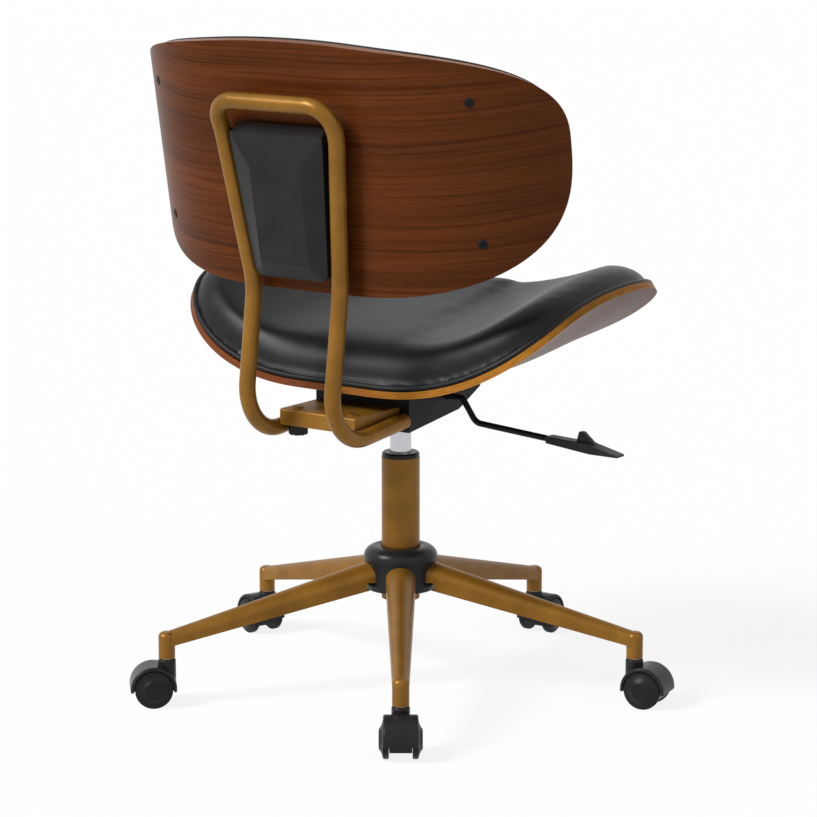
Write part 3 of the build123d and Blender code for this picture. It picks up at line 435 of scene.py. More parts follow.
def swollen(start, freedom_at, voxel, cap):
    """Remesh, soften and draw in a pad, blow it up as cloth and cap how far each point moves."""
    scene = bpy.context.scene
    stand = bpy.data.objects.new("pad_form", start)
    scene.collection.objects.link(stand)
    remesh = stand.modifiers.new("remesh", "REMESH")
    remesh.mode = "VOXEL"
    remesh.voxel_size = voxel
    form = evaluated_mesh(stand)
    stand.modifiers.clear()
    stand.data = form

    freedom = numpy.array([[freedom_at(v.co)] for v in form.vertices])
    edges = numpy.array([edge.vertices[:] for edge in form.edges])
    rest = relaxed(coordinates(form), edges, freedom, SOFTEN_STEPS)
    move_points(form, rest)
    normals = numpy.array([v.normal[:] for v in form.vertices])
    rest -= normals * freedom * cap * DRAW_IN
    move_points(form, rest)
    held = stand.vertex_groups.new(name="held")
    for index, share in enumerate(freedom[:, 0]):
        held.add([index], 1.0 - share, "REPLACE")
    cloth = stand.modifiers.new("cloth", "CLOTH")
    for key, value in CLOTH_SETTINGS.items():
        setattr(cloth.settings, key, value)
    cloth.settings.effector_weights.gravity = 0
    cloth.collision_settings.use_collision = False
    cloth.point_cache.frame_start = 1
    cloth.point_cache.frame_end = CLOTH_FRAMES
    for number in range(1, CLOTH_FRAMES + 1):
        scene.frame_set(number)
    blown = evaluated_mesh(stand)
    stand.modifiers.clear()
    move = relaxed(coordinates(blown) - rest, edges, 1.0, SPREAD_STEPS) * freedom
    length = numpy.linalg.norm(move, axis=1, keepdims=True)
    move *= numpy.minimum(1.0, cap / numpy.maximum(length, 1e-9))
    move_points(form, rest + move)
    scene.frame_set(1)
    bpy.data.objects.remove(stand)
    return form


class Wire:
    """A shader socket that takes part in Python arithmetic."""

    def __init__(self, finish, socket):
        self.finish = finish
        self.socket = socket

    def _math(self, operation, *values):
        return self.finish.add("ShaderNodeMath", {"operation": operation}, values)[0]

    def __add__(self, other):
        return self._math("ADD", self, other)

    def __sub__(self, other):
        return self._math("SUBTRACT", self, other)

    def __rsub__(self, other):
        return self._math("SUBTRACT", other, self)

    def __mul__(self, other):
        return self._math("MULTIPLY", self, other)

    def __truediv__(self, other):
        return self._math("DIVIDE", self, other)

    def __pow__(self, other):
        return self._math("POWER", self, other)

    def __abs__(self):
        return self._math("ABSOLUTE", self)

    def __lt__(self, other):
        return self._math("LESS_THAN", self, other)

    def at_least(self, other):
        return self._math("MAXIMUM", self, other)

    def at_most(self, other):
        return self._math("MINIMUM", self, other)

    def sine(self):
        return self._math("SINE", self)

    def sign(self):
        return self._math("SIGN", self)

    def arcsine(self):
        return self._math("ARCSINE", self)


def opaque(value):
    """A colour of three shares with full cover, or the value as it is."""
    return (*value, 1.0) if isinstance(value, tuple) and len(value) == 3 else value


def shaded(colour, share):
    """A colour made darker or lighter by a share."""
    return tuple(c * share for c in colour)


class Finish:
    """A material and the nodes that give it its look."""

    def __init__(self, name):
        self.material = bpy.data.materials.new(name)
        self.material.use_nodes = True
        self.tree = self.material.node_tree
        self.tree.nodes.clear()
        self.shader = self.tree.nodes.new("ShaderNodeBsdfPrincipled")
        self.output = self.tree.nodes.new("ShaderNodeOutputMaterial")
        self.tree.links.new(self.shader.outputs["BSDF"], self.output.inputs["Surface"])

    def glow(self, share):
        """Let rays that see the surface directly find it plain white by a share."""
        nodes, links = self.tree.nodes, self.tree.links
        light = nodes.new("ShaderNodeEmission")
        mixed = nodes.new("ShaderNodeMixShader")
        factor = Wire(self, seen_directly(nodes, links)) * share
        links.new(factor.socket, mixed.inputs[0])
        links.new(self.shader.outputs["BSDF"], mixed.inputs[1])
        links.new(light.outputs[0], mixed.inputs[2])
        links.new(mixed.outputs[0], self.output.inputs["Surface"])

    def add(self, kind, settings=None, values=None):
        """Add a node: settings first, then socket values or links by place or by name."""
        node = self.tree.nodes.new(kind)
        for key, value in (settings or {}).items():
            setattr(node, key, value)
        pairs = values.items() if isinstance(values, dict) else enumerate(values or ())
        for key, value in pairs:
            self.feed(node.inputs[key], value)
        return [Wire(self, socket) for socket in node.outputs]

    def feed(self, socket, value):
        """Set a socket to a value or link a wire to it."""
        if isinstance(value, Wire):
            self.tree.links.new(value.socket, socket)
        else:
            socket.default_value = opaque(value)

    def set(self, **values):
        """Feed the surface's own sockets, named with underscores."""
        for name, value in values.items():
            self.feed(self.shader.inputs[name.replace("_", " ")], value)

    def spot(self):
        """Where a point of the surface is at rest, as one vector."""
        return self.add("ShaderNodeTexCoord")[3]

    def place(self):
        """Where a point of the surface is at rest, as x, y and z."""
        return self.add("ShaderNodeSeparateXYZ", None, (self.spot(),))

    def facing(self):
        """The surface's direction as x, y and z."""
        direction = self.add("ShaderNodeTexCoord")[1]
        return self.add("ShaderNodeSeparateXYZ", None, (direction,))

    def point(self, x, y, z):
        return self.add("ShaderNodeCombineXYZ", None, (x, y, z))[0]

    def noise(self, vector, scale, detail, roughness=0.5):
        values = {"Vector": vector, "Scale": scale, "Detail": detail, "Roughness": roughness}
        return self.add("ShaderNodeTexNoise", None, values)[0]

    def grain(self, along, across, stretch, seed, detail, roughness=0.5):
        """Noise with its own scale along and across the grain."""
        vector = self.point(along * stretch[0], across * stretch[1], seed)
        return self.noise(vector, 1.0, detail, roughness)

    def ramp(self, factor, stops):
        """A colour that runs through stops of (place, colour)."""
        output = self.add("ShaderNodeValToRGB", None, (factor,))[0]
        elements = output.socket.node.color_ramp.elements
        while len(elements) < len(stops):
            elements.new(1.0)
        for element, (place, colour) in zip(elements, stops):
            element.position = place
            element.color = opaque(colour)
        return output

    def mix(self, factor, first, second, blend="MIX"):
        settings = {"data_type": "RGBA", "blend_type": blend}
        return self.add("ShaderNodeMix", settings, {0: factor, 6: first, 7: second})[2]

    def bump(self, height, strength, distance):
        values = {"Strength": strength, "Distance": distance, "Height": height}
        return self.add("ShaderNodeBump", None, values)[0]


def seen_directly(nodes, links):
    """A socket that is 1 for rays from the camera and for mirrored and refracted ones."""
    rays = nodes.new("ShaderNodeLightPath")
    total = rays.outputs["Is Camera Ray"]
    for name in ("Is Glossy Ray", "Is Transmission Ray"):
        either = nodes.new("ShaderNodeMath")
        either.operation = "MAXIMUM"
        links.new(total, either.inputs[0])
        links.new(rays.outputs[name], either.inputs[1])
        total = either.outputs[0]
    return total


WHITE = (1.0, 1.0, 1.0)
STREAK_STOPS = [(0.36, (0.3, 0.26, 0.25)), (0.47, (0.84, 0.82, 0.8)), (0.58, WHITE)]
GLUE_STOPS = [(0.3, (0.55, 0.5, 0.48)), (0.55, WHITE)]
GLUE_LINES = 2.5


def walnut_colour(finish, along, up, look):
    """Long veneer figure: broad bands, thin dark streaks and short pores."""
    drift = finish.grain(along, up, stretch=(1.7, 5.0), seed=0.3, detail=2.0)
    wavy = up + (drift - 0.5) * 0.03
    bands = finish.grain(along, wavy, stretch=(1.2, 34.0), seed=1.7, detail=4.0, roughness=0.6)
    streaks = finish.grain(along, wavy, stretch=(2.6, 280.0), seed=4.1, detail=4.0, roughness=0.62)
    pores = finish.grain(along, wavy, stretch=(45.0, 1200.0), seed=9.0, detail=2.0)
    colour = finish.ramp(
        bands * 0.66 + pores * 0.34,
        [(0.34, tuple(look.walnut_dark)), (0.5, tuple(look.walnut)), (0.66, tuple(look.walnut_light))],
    )
    shade = finish.ramp(streaks, STREAK_STOPS)
    return finish.mix(0.58, colour, shade, "MULTIPLY"), pores, streaks


def ply_edge(finish, depth, along, dark, light, blend):
    """Cut plywood: faint glue lines, and a tone that runs between two colours by a blend, which on the seat is
    painted light: golden toward the lit side.
    """
    layers = (depth * math.tau * GLUE_LINES).sine()
    fibres = finish.grain(along, depth, stretch=(60.0, 2.0), seed=2.0, detail=3.0)
    tone = finish.ramp(blend, [(0.0, tuple(dark)), (1.0, tuple(light))])
    shade = finish.ramp(layers * 0.1 + fibres, GLUE_STOPS)
    return finish.mix(0.6, tone, shade, "MULTIPLY")


def lacquer(finish, look, colour, pores, streaks, roughness):
    """Lacquered wood from its colour, pores and streaks."""
    finish.set(
        Base_Color=colour,
        Roughness=streaks * 0.16 + roughness,
        Normal=finish.bump(pores, strength=0.1, distance=0.0003),
        Specular_IOR_Level=look.wood_gloss,
    )
    return finish.material


def back_walnut(look):
    """Walnut for the back: grain runs along the bend, with a ply edge."""
    finish = Finish("back_walnut")
    x, y, z = finish.place()
    nx, ny, nz = finish.facing()
    lean_sin, lean_cos = math.sin(BACK_LEAN), math.cos(BACK_LEAN)
    outward = (abs(x) - BACK_FLAT_HALF).at_least(0.0)
    forward = (z - BACK_ORIGIN.z) * lean_sin - (y - BACK_ORIGIN.y) * lean_cos
    up = (y - BACK_ORIGIN.y) * lean_sin + (z - BACK_ORIGIN.z) * lean_cos
    inward = BACK_BEND - forward
    radius = (outward * outward + inward * inward) ** 0.5
    turn_sin = outward / radius
    turn_cos = inward / radius
    along = (abs(x).at_most(BACK_FLAT_HALF) + turn_sin.arcsine() * BACK_BEND) * x.sign()
    across = nx * x.sign() * turn_sin + (ny * lean_cos - nz * lean_sin) * turn_cos
    edge = abs(across) < 0.55
    depth = (BACK_BEND - radius) / BACK_SHEET
    face, pores, streaks = walnut_colour(finish, along, up, look)
    cut = ply_edge(finish, depth, along, look.edge_red, look.edge_pale, abs(along) / BACK_HALF_LENGTH)
    return lacquer(finish, look, finish.mix(edge, face, cut), pores, streaks, 0.26)


def seat_walnut(look):
    """Walnut for the seat: grain from side to side, with a ply edge that turns golden toward one side, as painted
    light on its lit side.
    """
    finish = Finish("seat_walnut")
    x, y, z = finish.place()
    nx, _, nz = finish.facing()
    step = (y - SEAT_WIDE_Y) / SEAT_WING_SCALE
    front = ((SEAT_FRONT_BEND - y) / (SEAT_FRONT_BEND - SEAT_FRONT)).at_least(0.0)
    rear = ((y - SEAT_REAR_BEND) / (SEAT_REAR - SEAT_REAR_BEND)).at_least(0.0)
    pan = front * front * SEAT_FRONT_RISE + rear * rear * SEAT_REAR_RISE + SEAT_TOP
    rise = step * SEAT_WING_LEAN + step * step * SEAT_WING_FALL + SEAT_WING_RISE
    power = (step * SEAT_WING_POWER_LEAN + SEAT_WING_POWER).at_least(SEAT_WING_POWER_LEAST)
    wing = (abs(x) - SEAT_FLAT_HALF).at_least(0.0) / (SEAT_HALF - SEAT_FLAT_HALF)
    slope = rise * power * wing ** (power - 1) / (SEAT_HALF - SEAT_FLAT_HALF) * x.sign()
    tilt = (slope * slope + 1) ** 0.5
    depth = (pan + rise * wing**power - z) / tilt / SEAT_SHEET
    edge = abs((nz - nx * slope) / tilt) < 0.5
    face, pores, streaks = walnut_colour(finish, x, y, look)
    # Painted light: the cut edge runs from red in shade to golden in light toward the lit side, below x = 0.05.
    lit_side_blend = ((0.05 - x) / 0.15).at_least(0.0).at_most(1.0)
    cut = ply_edge(finish, depth, x + y, look.edge_red, look.edge_lit_gold, lit_side_blend)
    return lacquer(finish, look, finish.mix(edge, face, cut), pores, streaks, 0.28)


def leather(look):
    """Black leather: pebble grain, soft creases and an uneven sheen."""
    finish = Finish("black_leather")
    spot = finish.spot()
    pebbles = finish.add(
        "ShaderNodeTexVoronoi",
        {"feature": "SMOOTH_F1"},
        {"Vector": spot, "Scale": 620.0, "Smoothness": 0.6},
    )[0]
    creases = finish.noise(spot, scale=46.0, detail=5.0, roughness=0.62)
    patches = finish.noise(spot, scale=8.0, detail=3.0)
    finish.set(
        Base_Color=finish.ramp(
            pebbles * 0.5 + patches * 0.5,
            [(0.2, shaded(look.leather, 0.7)), (0.7, shaded(look.leather, 1.4))],
        ),
        Roughness=patches * 0.1 + creases * 0.08 + 0.3,
        Normal=finish.bump(pebbles * 0.4 + creases * 0.5, strength=0.22, distance=0.0007),
        Specular_IOR_Level=look.leather_gloss,
    )
    return finish.material


def leather_material():
    """The one leather that pads and piping share."""
    made = bpy.data.materials.get("black_leather")
    return made or leather(bpy.context.scene.chair_colours)


def bronze(look):
    """Satin bronze paint with a fine metal fleck."""
    finish = Finish("satin_bronze")
    spot = finish.spot()
    fleck = finish.noise(spot, scale=1800.0, detail=2.0)
    cloud = finish.noise(spot, scale=22.0, detail=4.0, roughness=0.6)
    finish.set(
        Base_Color=finish.ramp(
            cloud * 0.75 + fleck * 0.25,
            [(0.32, tuple(look.bronze_dark)), (0.5, tuple(look.bronze)), (0.68, tuple(look.bronze_light))],
        ),
        Metallic=0.3,
        Roughness=cloud * 0.12 + fleck * 0.06 + 0.27,
        Normal=finish.bump(fleck, strength=0.05, distance=0.0002),
        Specular_IOR_Level=0.22,
    )
    return finish.material


def moulded(name, colour, roughness, grain, gloss):
    """Moulded plastic with a spark-eroded grain."""
    finish = Finish(name)
    spot = finish.spot()
    texture = finish.noise(spot, scale=grain, detail=3.0, roughness=0.6)
    scuff = finish.noise(spot, scale=24.0, detail=4.0)
    finish.set(
        Base_Color=finish.ramp(
            texture * 0.4 + scuff * 0.6,
            [(0.3, shaded(colour, 0.8)), (0.7, shaded(colour, 1.3))],
        ),
        Roughness=scuff * 0.06 + roughness,
        Normal=finish.bump(texture, strength=0.1, distance=0.0003),
        Specular_IOR_Level=gloss,
    )
    return finish.material


def coated_steel(look):
    """Black powder coat on pressed steel."""
    finish = Finish("black_powder_coat")
    spot = finish.spot()
    peel = finish.noise(spot, scale=700.0, detail=2.0)
    cloud = finish.noise(spot, scale=20.0, detail=3.0)
    finish.set(
        Base_Color=finish.ramp(
            cloud,
            [(0.3, shaded(look.black_paint, 0.8)), (0.7, shaded(look.black_paint, 1.3))],
        ),
        Roughness=cloud * 0.12 + 0.34,
        Normal=finish.bump(peel, strength=0.12, distance=0.0003),
        Specular_IOR_Level=0.13,
    )
    return finish.material


def bare_metal(name, colour, roughness, streak):
    """Polished or plated metal with faint turning lines."""
    finish = Finish(name)
    x, y, z = finish.place()
    lines = finish.noise(finish.point(x * 30.0, y * 30.0, z * 2200.0), scale=1.0, detail=2.0)
    cloud = finish.noise(finish.point(x, y, z), scale=30.0, detail=2.0)
    finish.set(
        Base_Color=finish.ramp(
            lines * streak + cloud * (1 - streak),
            [(0.25, shaded(colour, 0.88)), (0.75, tuple(colour))],
        ),
        Metallic=1.0,
        Roughness=lines * 0.08 * streak + cloud * 0.04 + roughness,
    )
    return finish.material


def dress(nodes, material):
    """Give carried-over solids their finish."""
    for node in nodes:
        mesh = frame["nodes"][node].data
        mesh.materials.clear()
        mesh.materials.append(material)


def nodes_of_slot(slot):
    """The solids that the record gives one material slot."""
    return [part["node"] for part in frame["record"]["subparts"] if part["material_slot"] == slot]


def size_value(name, description, default):
    """A size in metres."""
    return FloatProperty(name=name, description=description, default=default, unit="LENGTH")


def colour_value(name, description, default):
    """A colour in linear light."""
    return FloatVectorProperty(name=name, description=description, subtype="COLOR", default=default)


def number_value(name, description, default):
    """A plain number."""
    return FloatProperty(name=name, description=description, default=default)


def angle_value(name, description, degrees):
    """An angle, given in degrees."""
    return FloatProperty(
        name=name, description=description, subtype="ANGLE", unit="ROTATION", default=math.radians(degrees)
    )


class ChairSizes(bpy.types.PropertyGroup):
    """Sizes of the pieces made here."""

    seat_pad: size_value("Seat pad", "Depth over the middle of the seat", 0.075)
    seat_pad_lean: size_value("Seat pad lean", "How much deeper the pad gets toward the front", 0.028)
    wing_pad: size_value("Wing pad", "Depth at the ends of the wings", 0.041)
    seat_inset: size_value("Seat inset", "Pad edge to wood edge", 0.004)
    pad_clearance: size_value("Clearance", "Pad to wood", 0.0005)
    roll: size_value("Side roll", "Width of the round edge on the wings", 0.032)
    rear_roll: size_value("Rear roll", "Width of the round edge behind", 0.04)
    front_roll: size_value("Front roll", "Width of the round edge in front", 0.08)
    bulge: size_value("Bulge", "How far the side of the pad stands out", 0.003)
    voxel: size_value("Voxel", "Size of the pad's remesh", 0.0055)
    seat_swell: size_value("Seat swell", "Most that the seat pad swells", 0.0025)
    back_swell: size_value("Back swell", "Most that the back pad swells", 0.003)
    piping: size_value("Piping", "Radius of the piping", 0.0038)
    cover_gap: size_value("Cover gap", "Hub cover to column", 0.0005)
    cover_rise: size_value("Cover rise", "Height of the hub cover's dome", 0.0145)
    cover_depth: size_value("Cover depth", "Height of the hub cover", 0.057)
    cover_waist: size_value("Cover waist", "How far the skirt draws in below the dome", 0.0035)
    cover_wall: size_value("Cover wall", "Wall of the hub cover", 0.0025)
    screw_head: size_value("Screw head", "Radius of the back's screws", 0.006)
    screw_along: size_value("Screw reach", "Screws from the middle, along the bend", 0.251)
    screw_high: size_value("Upper screws", "Height of the upper screws", 0.0614)
    screw_low: size_value("Lower screws", "Height of the lower screws", -0.1148)


class ChairColours(bpy.types.PropertyGroup):
    """Colours and shine of the finishes."""

    walnut_dark: colour_value("Walnut dark", "Dark veneer bands", (0.058, 0.015, 0.0034))
    walnut: colour_value("Walnut", "Veneer between the bands", (0.09, 0.0235, 0.0046))
    walnut_light: colour_value("Walnut light", "Light veneer bands", (0.128, 0.034, 0.0058))
    wood_gloss: number_value("Wood gloss", "Strength of the lacquer's shine", 0.06)
    edge_red: colour_value("Red edge", "Cut edge in shade", (0.17, 0.052, 0.018))
    edge_lit_gold: colour_value("Gold edge", "Cut edge in light", (0.35, 0.142, 0.02))
    edge_pale: colour_value("Pale edge", "Ends of the back's edge", (0.34, 0.19, 0.12))
    leather: colour_value("Leather", "Pads and piping", (0.007, 0.007, 0.0073))
    leather_gloss: number_value("Leather gloss", "Strength of the leather's shine", 0.17)
    bronze_dark: colour_value("Bronze dark", "Aged patches", (0.168, 0.074, 0.0085))
    bronze: colour_value("Bronze", "Tube and base", (0.215, 0.097, 0.0105))
    bronze_light: colour_value("Bronze light", "Rubbed patches", (0.262, 0.122, 0.0145))
    plastic: colour_value("Plastic", "Mouldings", (0.0135, 0.0135, 0.014))
    nylon: colour_value("Nylon", "Wheels", (0.009, 0.009, 0.0095))
    black_paint: colour_value("Black paint", "Mechanism", (0.008, 0.008, 0.008))
    chrome: colour_value("Chrome", "Piston", (0.56, 0.57, 0.59))
    zinc: colour_value("Zinc", "Bolts and pins", (0.3, 0.3, 0.31))
    floor: colour_value("Floor", "Studio floor", (0.96, 0.96, 0.96))


class ChairStudio(bpy.types.PropertyGroup):
    """Camera and light."""

    camera_place: FloatVectorProperty(
        name="Camera",
        description="Place of the camera",
        subtype="TRANSLATION",
        unit="LENGTH",
        default=(-2.4575, 3.3825, 1.18816),
    )
    camera_down: angle_value("Pitch", "How far the camera looks down", 11.07)
    camera_turn: angle_value("Turn", "Heading of the camera", 216)
    lens: number_value("Lens", "Focal length in millimetres", 144.28)
    shift: number_value("Shift", "Sideways framing", 0.00955)
    key_power: number_value("Key light", "Strength of the main light", 3.5)
    fill_power: number_value("Fill light", "Strength of the fill", 0.35)
    world: number_value("Surround", "Strength of the even surround", 0.24)
    floor_glow: number_value("White floor", "Share of the floor that shows plain white", 0.86)


def lay_pad(name, node, start, height_of, swell):
    """Put a swollen pad in the place of its solid, held where it is no higher than its piping."""
    sizes = bpy.context.scene.chair_sizes

    def freedom_at(co):
        return eased(height_of(co) / sizes.piping / 2 - HELD_WIDTH)

    mesh = swollen(start, freedom_at, sizes.voxel, swell)
    piece = new_piece(name, mesh, "seat", leather_material())
    piece.modifiers.new("smooth", "SUBSURF").render_levels = 1
    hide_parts(node)


class CHAIR_OT_seat_cushion(bpy.types.Operator):
    """Make the dished seat pad"""

    bl_idname = "chair.seat_cushion"
    bl_label = "Seat cushion"

    def execute(self, context):
        sizes = context.scene.chair_sizes

        def height_of(co):
            return co.z - seat_height(co.x, co.y)

        lay_pad("seat_leather", "seat_cushion", seat_pad_mesh(sizes), height_of, sizes.seat_swell)
        return {"FINISHED"}


class CHAIR_OT_back_cushion(bpy.types.Operator):
    """Make the wrap-around back pad"""

    bl_idname = "chair.back_cushion"
    bl_label = "Back cushion"

    def execute(self, context):
        sizes = context.scene.chair_sizes

        def height_of(co):
            spot = co - BACK_ORIGIN
            outward = max(0.0, abs(spot.x) - BACK_FLAT_HALF)
            radius = math.hypot(outward, BACK_BEND - spot.dot(BACK_FORWARD))
            return BACK_BEND - radius - BACK_SHEET

        lay_pad("back_leather", "back_cushion", solid_mesh("back_cushion"), height_of, sizes.back_swell)
        return {"FINISHED"}


class CHAIR_OT_piping(bpy.types.Operator):
    """Sew the piping round both pads"""

    bl_idname = "chair.piping"
    bl_label = "Piping"

    def execute(self, context):
        radius = context.scene.chair_sizes.piping
        height = radius * PIPING_HEIGHT

        def seat_edge(angle):
            x, y = seat_rim(angle, radius * SEAT_PIPING_INSET)
            y += SEAT_WIDE_Y
            return Vector((x, y, seat_height(x, y) + height))

        def back_edge(angle):
            return back_point(*back_rim(angle, radius * BACK_PIPING_INSET), BACK_SHEET + height)

        for name, edge, rim in (
            ("seat_piping", seat_edge, lambda a: seat_rim(a, 0.0)),
            ("back_piping", back_edge, lambda a: back_rim(a, 0.0)),
        ):
            curve = bpy.data.curves.new(name, "CURVE")
            curve.dimensions = "3D"
            curve.bevel_depth = radius
            curve.bevel_resolution = 4
            spline = curve.splines.new("NURBS")
            spline.points.add(RIM_POINTS - 1)
            for point, angle in zip(spline.points, even_angles(rim, RIM_POINTS)):
                point.co = (*edge(angle), 1.0)
            spline.use_cyclic_u = True
            spline.order_u = 4
            new_piece(name, curve, "seat", leather_material())
        return {"FINISHED"}


class CHAIR_OT_wood(bpy.types.Operator):
    """Finish the bent walnut shells and even out the back's outline"""

    bl_idname = "chair.wood"
    bl_label = "Walnut shells"

    def execute(self, context):
        look = context.scene.chair_colours
        veneer = back_walnut(look)
        dress(["back_shell"], veneer)
        dress(["seat_shell"], seat_walnut(look))
        piece = new_piece("back_veneer", back_shell_mesh(), "seat", veneer)
        piece.data.set_sharp_from_angle(angle=SHARP_ANGLE)
        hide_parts("back_shell")
        return {"FINISHED"}


class CHAIR_OT_metal(bpy.types.Operator):
    """Finish the tube, base, column, mechanism and fasteners"""

    bl_idname = "chair.metal"
    bl_label = "Metal"

    def execute(self, context):
        look = context.scene.chair_colours
        chrome = bare_metal("polished_chrome", look.chrome, roughness=0.1, streak=0.2)
        zinc = bare_metal("zinc_plate", look.zinc, roughness=0.3, streak=0.6)
        dress(nodes_of_slot("bronze"), bronze(look))
        dress(nodes_of_slot("black_steel"), coated_steel(look))
        dress(nodes_of_slot("chrome"), chrome)
        dress(nodes_of_slot("steel"), zinc)
        return {"FINISHED"}


class CHAIR_OT_plastic(bpy.types.Operator):
    """Finish the mouldings, wheels and rubber"""

    bl_idname = "chair.plastic"
    bl_label = "Plastic"

    def execute(self, context):
        look = context.scene.chair_colours
        moulding = moulded("black_moulding", look.plastic, roughness=0.26, grain=2600.0, gloss=0.15)
        nylon = moulded("wheel_nylon", look.nylon, roughness=0.38, grain=1500.0, gloss=0.15)
        rubber = moulded("bumper_rubber", look.plastic, roughness=0.64, grain=900.0, gloss=0.2)
        dress(nodes_of_slot("black_plastic"), moulding)
        dress(nodes_of_slot("wheel_nylon"), nylon)
        dress(nodes_of_slot("rubber"), rubber)
        return {"FINISHED"}


class CHAIR_OT_hub_cover(bpy.types.Operator):
    """Turn the moulded cover that the legs come through"""

    bl_idname = "chair.hub_cover"
    bl_label = "Hub cover"

    def execute(self, context):
        sizes = context.scene.chair_sizes
        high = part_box("hub_cover")[1]
        edge, top = high[0], high[2]
        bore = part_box("column_tube")[1][0] + sizes.cover_gap
        crown = edge - bore
        flat = bore + COVER_FLAT * crown
        shoulder = top - sizes.cover_rise
        skirt = top - sizes.cover_depth
        waist = edge - sizes.cover_waist
        outer = [(bore, top), (flat, top)]
        for degrees in range(COVER_TURN, 91, COVER_TURN):
            t = math.radians(degrees)
            reach = (1 - COVER_FLAT) * crown * math.sin(t)
            outer.append((flat + reach, shoulder + sizes.cover_rise * math.cos(t)))
        for drawn, drop in COVER_SKIRT:
            outer.append((edge - drawn * sizes.cover_waist, shoulder - drop * sizes.cover_rise))
        outer += [(waist, skirt + COVER_LIP), (waist - COVER_LIP / 2, skirt)]
        inner = [(outer[-1][0] - sizes.cover_wall, skirt)]
        inner += [(r - sizes.cover_wall, z - sizes.cover_wall) for r, z in reversed(outer[2:-2])]
        inner += [(bore, top - sizes.cover_wall)]
        mesh = turned_mesh("hub_cover_moulding", outer + inner, COVER_SIDES)
        material = bpy.data.materials["black_moulding"]
        piece = new_piece("hub_cover_moulding", mesh, "base", material)
        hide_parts("hub_cover")
        return {"FINISHED"}


class CHAIR_OT_screws(bpy.types.Operator):
    """Make the cross-head screws on the back"""

    bl_idname = "chair.screws"
    bl_label = "Back screws"

    def execute(self, context):
        sizes = context.scene.chair_sizes
        screw = screw_mesh(sizes.screw_head)
        joined = bmesh.new()
        for along in (-sizes.screw_along, sizes.screw_along):
            for height, angle in ((sizes.screw_high, UPPER_SCREW_TURN), (sizes.screw_low, LOWER_SCREW_TURN)):
                ahead = back_point(along + SLOPE_STEP, height, 0.0)
                behind = back_point(along - SLOPE_STEP, height, 0.0)
                out = (ahead - behind).normalized().cross(BACK_UP)
                if out.y < 0:
                    out.negate()
                pose = Matrix((BACK_UP.cross(out), BACK_UP, out)).transposed().to_4x4()
                place = Matrix.Translation(back_point(along, height, 0.0))
                copy = screw.copy()
                copy.transform(place @ pose @ Matrix.Rotation(angle, 4, "Z"))
                joined.from_mesh(copy)
        mesh = bpy.data.meshes.new("back_screw_heads")
        joined.to_mesh(mesh)
        joined.free()
        material = bpy.data.materials["black_powder_coat"]
        piece = new_piece("back_screw_heads", mesh, "seat", material)
        for polygon in piece.data.polygons:
            polygon.use_smooth = False
        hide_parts("back_screws")
        return {"FINISHED"}


def white_world(strength):
    """A world that lights evenly by a strength and looks plain white."""
    world = bpy.data.worlds.new("studio")
    world.use_nodes = True
    nodes, links = world.node_tree.nodes, world.node_tree.links
    ground = nodes["Background"]
    choose = nodes.new("ShaderNodeMix")
    choose.data_type = "FLOAT"
    links.new(seen_directly(nodes, links), choose.inputs[0])
    choose.inputs[2].default_value = strength
    choose.inputs[3].default_value = 1.0
    links.new(choose.outputs[0], ground.inputs["Strength"])
    ground.inputs["Color"].default_value = opaque(WHITE)
    return world


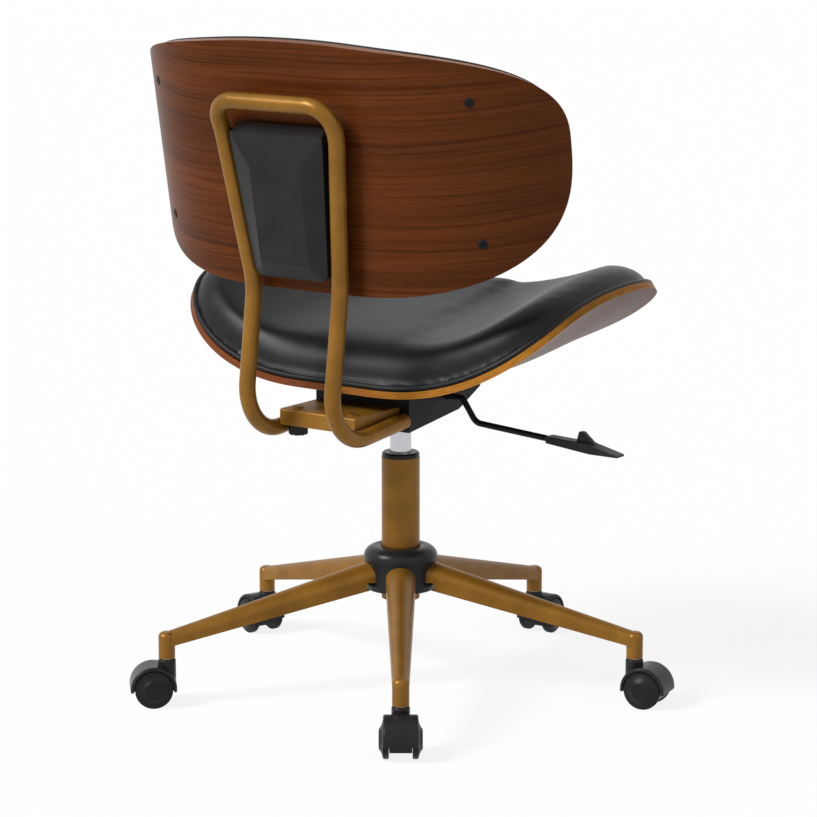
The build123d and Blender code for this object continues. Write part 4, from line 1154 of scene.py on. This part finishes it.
class CHAIR_OT_stage(bpy.types.Operator):
    """Set the floor, lights and camera"""

    bl_idname = "chair.stage"
    bl_label = "Studio"

    def execute(self, context):
        scene = context.scene
        studio = scene.chair_studio
        scene.view_settings.view_transform = "Standard"
        scene.world = white_world(studio.world)

        reach = FLOOR_REACH
        corners = [(-reach, -reach, 0), (reach, -reach, 0), (reach, reach, 0), (-reach, reach, 0)]
        floor_mesh = bpy.data.meshes.new("studio_floor")
        floor_mesh.from_pydata(corners, [], [(0, 1, 2, 3)])
        floor = bpy.data.objects.new("studio_floor", floor_mesh)
        scene.collection.objects.link(floor)
        floor_finish = Finish("studio_floor")
        floor_colour = tuple(scene.chair_colours.floor)
        floor_finish.set(Base_Color=floor_colour, Roughness=0.9, Specular_IOR_Level=0.0)
        floor_finish.glow(studio.floor_glow)
        floor_mesh.materials.append(floor_finish.material)

        for name, angles, power in (
            ("key", KEY_LAMP, studio.key_power),
            ("fill", FILL_LAMP, studio.fill_power),
        ):
            heading, height, softness = (math.radians(angle) for angle in angles)
            lamp = bpy.data.lights.new(name, "SUN")
            lamp.angle = softness
            lamp.energy = power
            light = bpy.data.objects.new(name, lamp)
            scene.collection.objects.link(light)
            flat = math.cos(height)
            out = Vector((flat * math.cos(heading), flat * math.sin(heading), math.sin(height)))
            light.location = out * LAMP_DISTANCE
            light.rotation_euler = out.to_track_quat("Z", "Y").to_euler()

        camera_data = bpy.data.cameras.new("camera")
        camera_data.lens = studio.lens
        camera_data.sensor_width = SENSOR
        camera_data.shift_x = studio.shift
        camera = bpy.data.objects.new("camera", camera_data)
        scene.collection.objects.link(camera)
        tilt = Matrix.Rotation(math.pi / 2 - studio.camera_down, 4, "X")
        heading = Matrix.Rotation(studio.camera_turn, 4, "Z")
        camera.matrix_world = Matrix.Translation(studio.camera_place) @ heading @ tilt
        scene.camera = camera
        return {"FINISHED"}


class CHAIR_PT_panel(bpy.types.Panel):
    """Sidebar list of the chair's steps"""

    bl_idname = "CHAIR_PT_panel"
    bl_label = "Walnut swivel chair"
    bl_space_type = "VIEW_3D"
    bl_region_type = "UI"
    bl_category = "Chair"

    def draw(self, context):
        for step in STEPS:
            self.layout.operator(step.bl_idname)


STEPS = (
    CHAIR_OT_seat_cushion,
    CHAIR_OT_back_cushion,
    CHAIR_OT_piping,
    CHAIR_OT_wood,
    CHAIR_OT_metal,
    CHAIR_OT_plastic,
    CHAIR_OT_hub_cover,
    CHAIR_OT_screws,
    CHAIR_OT_stage,
)
GROUPS = {"chair_sizes": ChairSizes, "chair_colours": ChairColours, "chair_studio": ChairStudio}


def register():
    for group in GROUPS.values():
        bpy.utils.register_class(group)
    for step in STEPS:
        bpy.utils.register_class(step)
    bpy.utils.register_class(CHAIR_PT_panel)
    for name, group in GROUPS.items():
        setattr(bpy.types.Scene, name, PointerProperty(type=group))


def unregister():
    for name in GROUPS:
        delattr(bpy.types.Scene, name)
    bpy.utils.unregister_class(CHAIR_PT_panel)
    for step in reversed(STEPS):
        bpy.utils.unregister_class(step)
    for group in reversed(GROUPS.values()):
        bpy.utils.unregister_class(group)


def main():
    register()
    bpy.ops.chair.seat_cushion()
    bpy.ops.chair.back_cushion()
    bpy.ops.chair.piping()
    bpy.ops.chair.wood()
    bpy.ops.chair.metal()
    bpy.ops.chair.plastic()
    bpy.ops.chair.hub_cover()
    bpy.ops.chair.screws()
    bpy.ops.chair.stage()


if __name__ == "__main__":
    main()
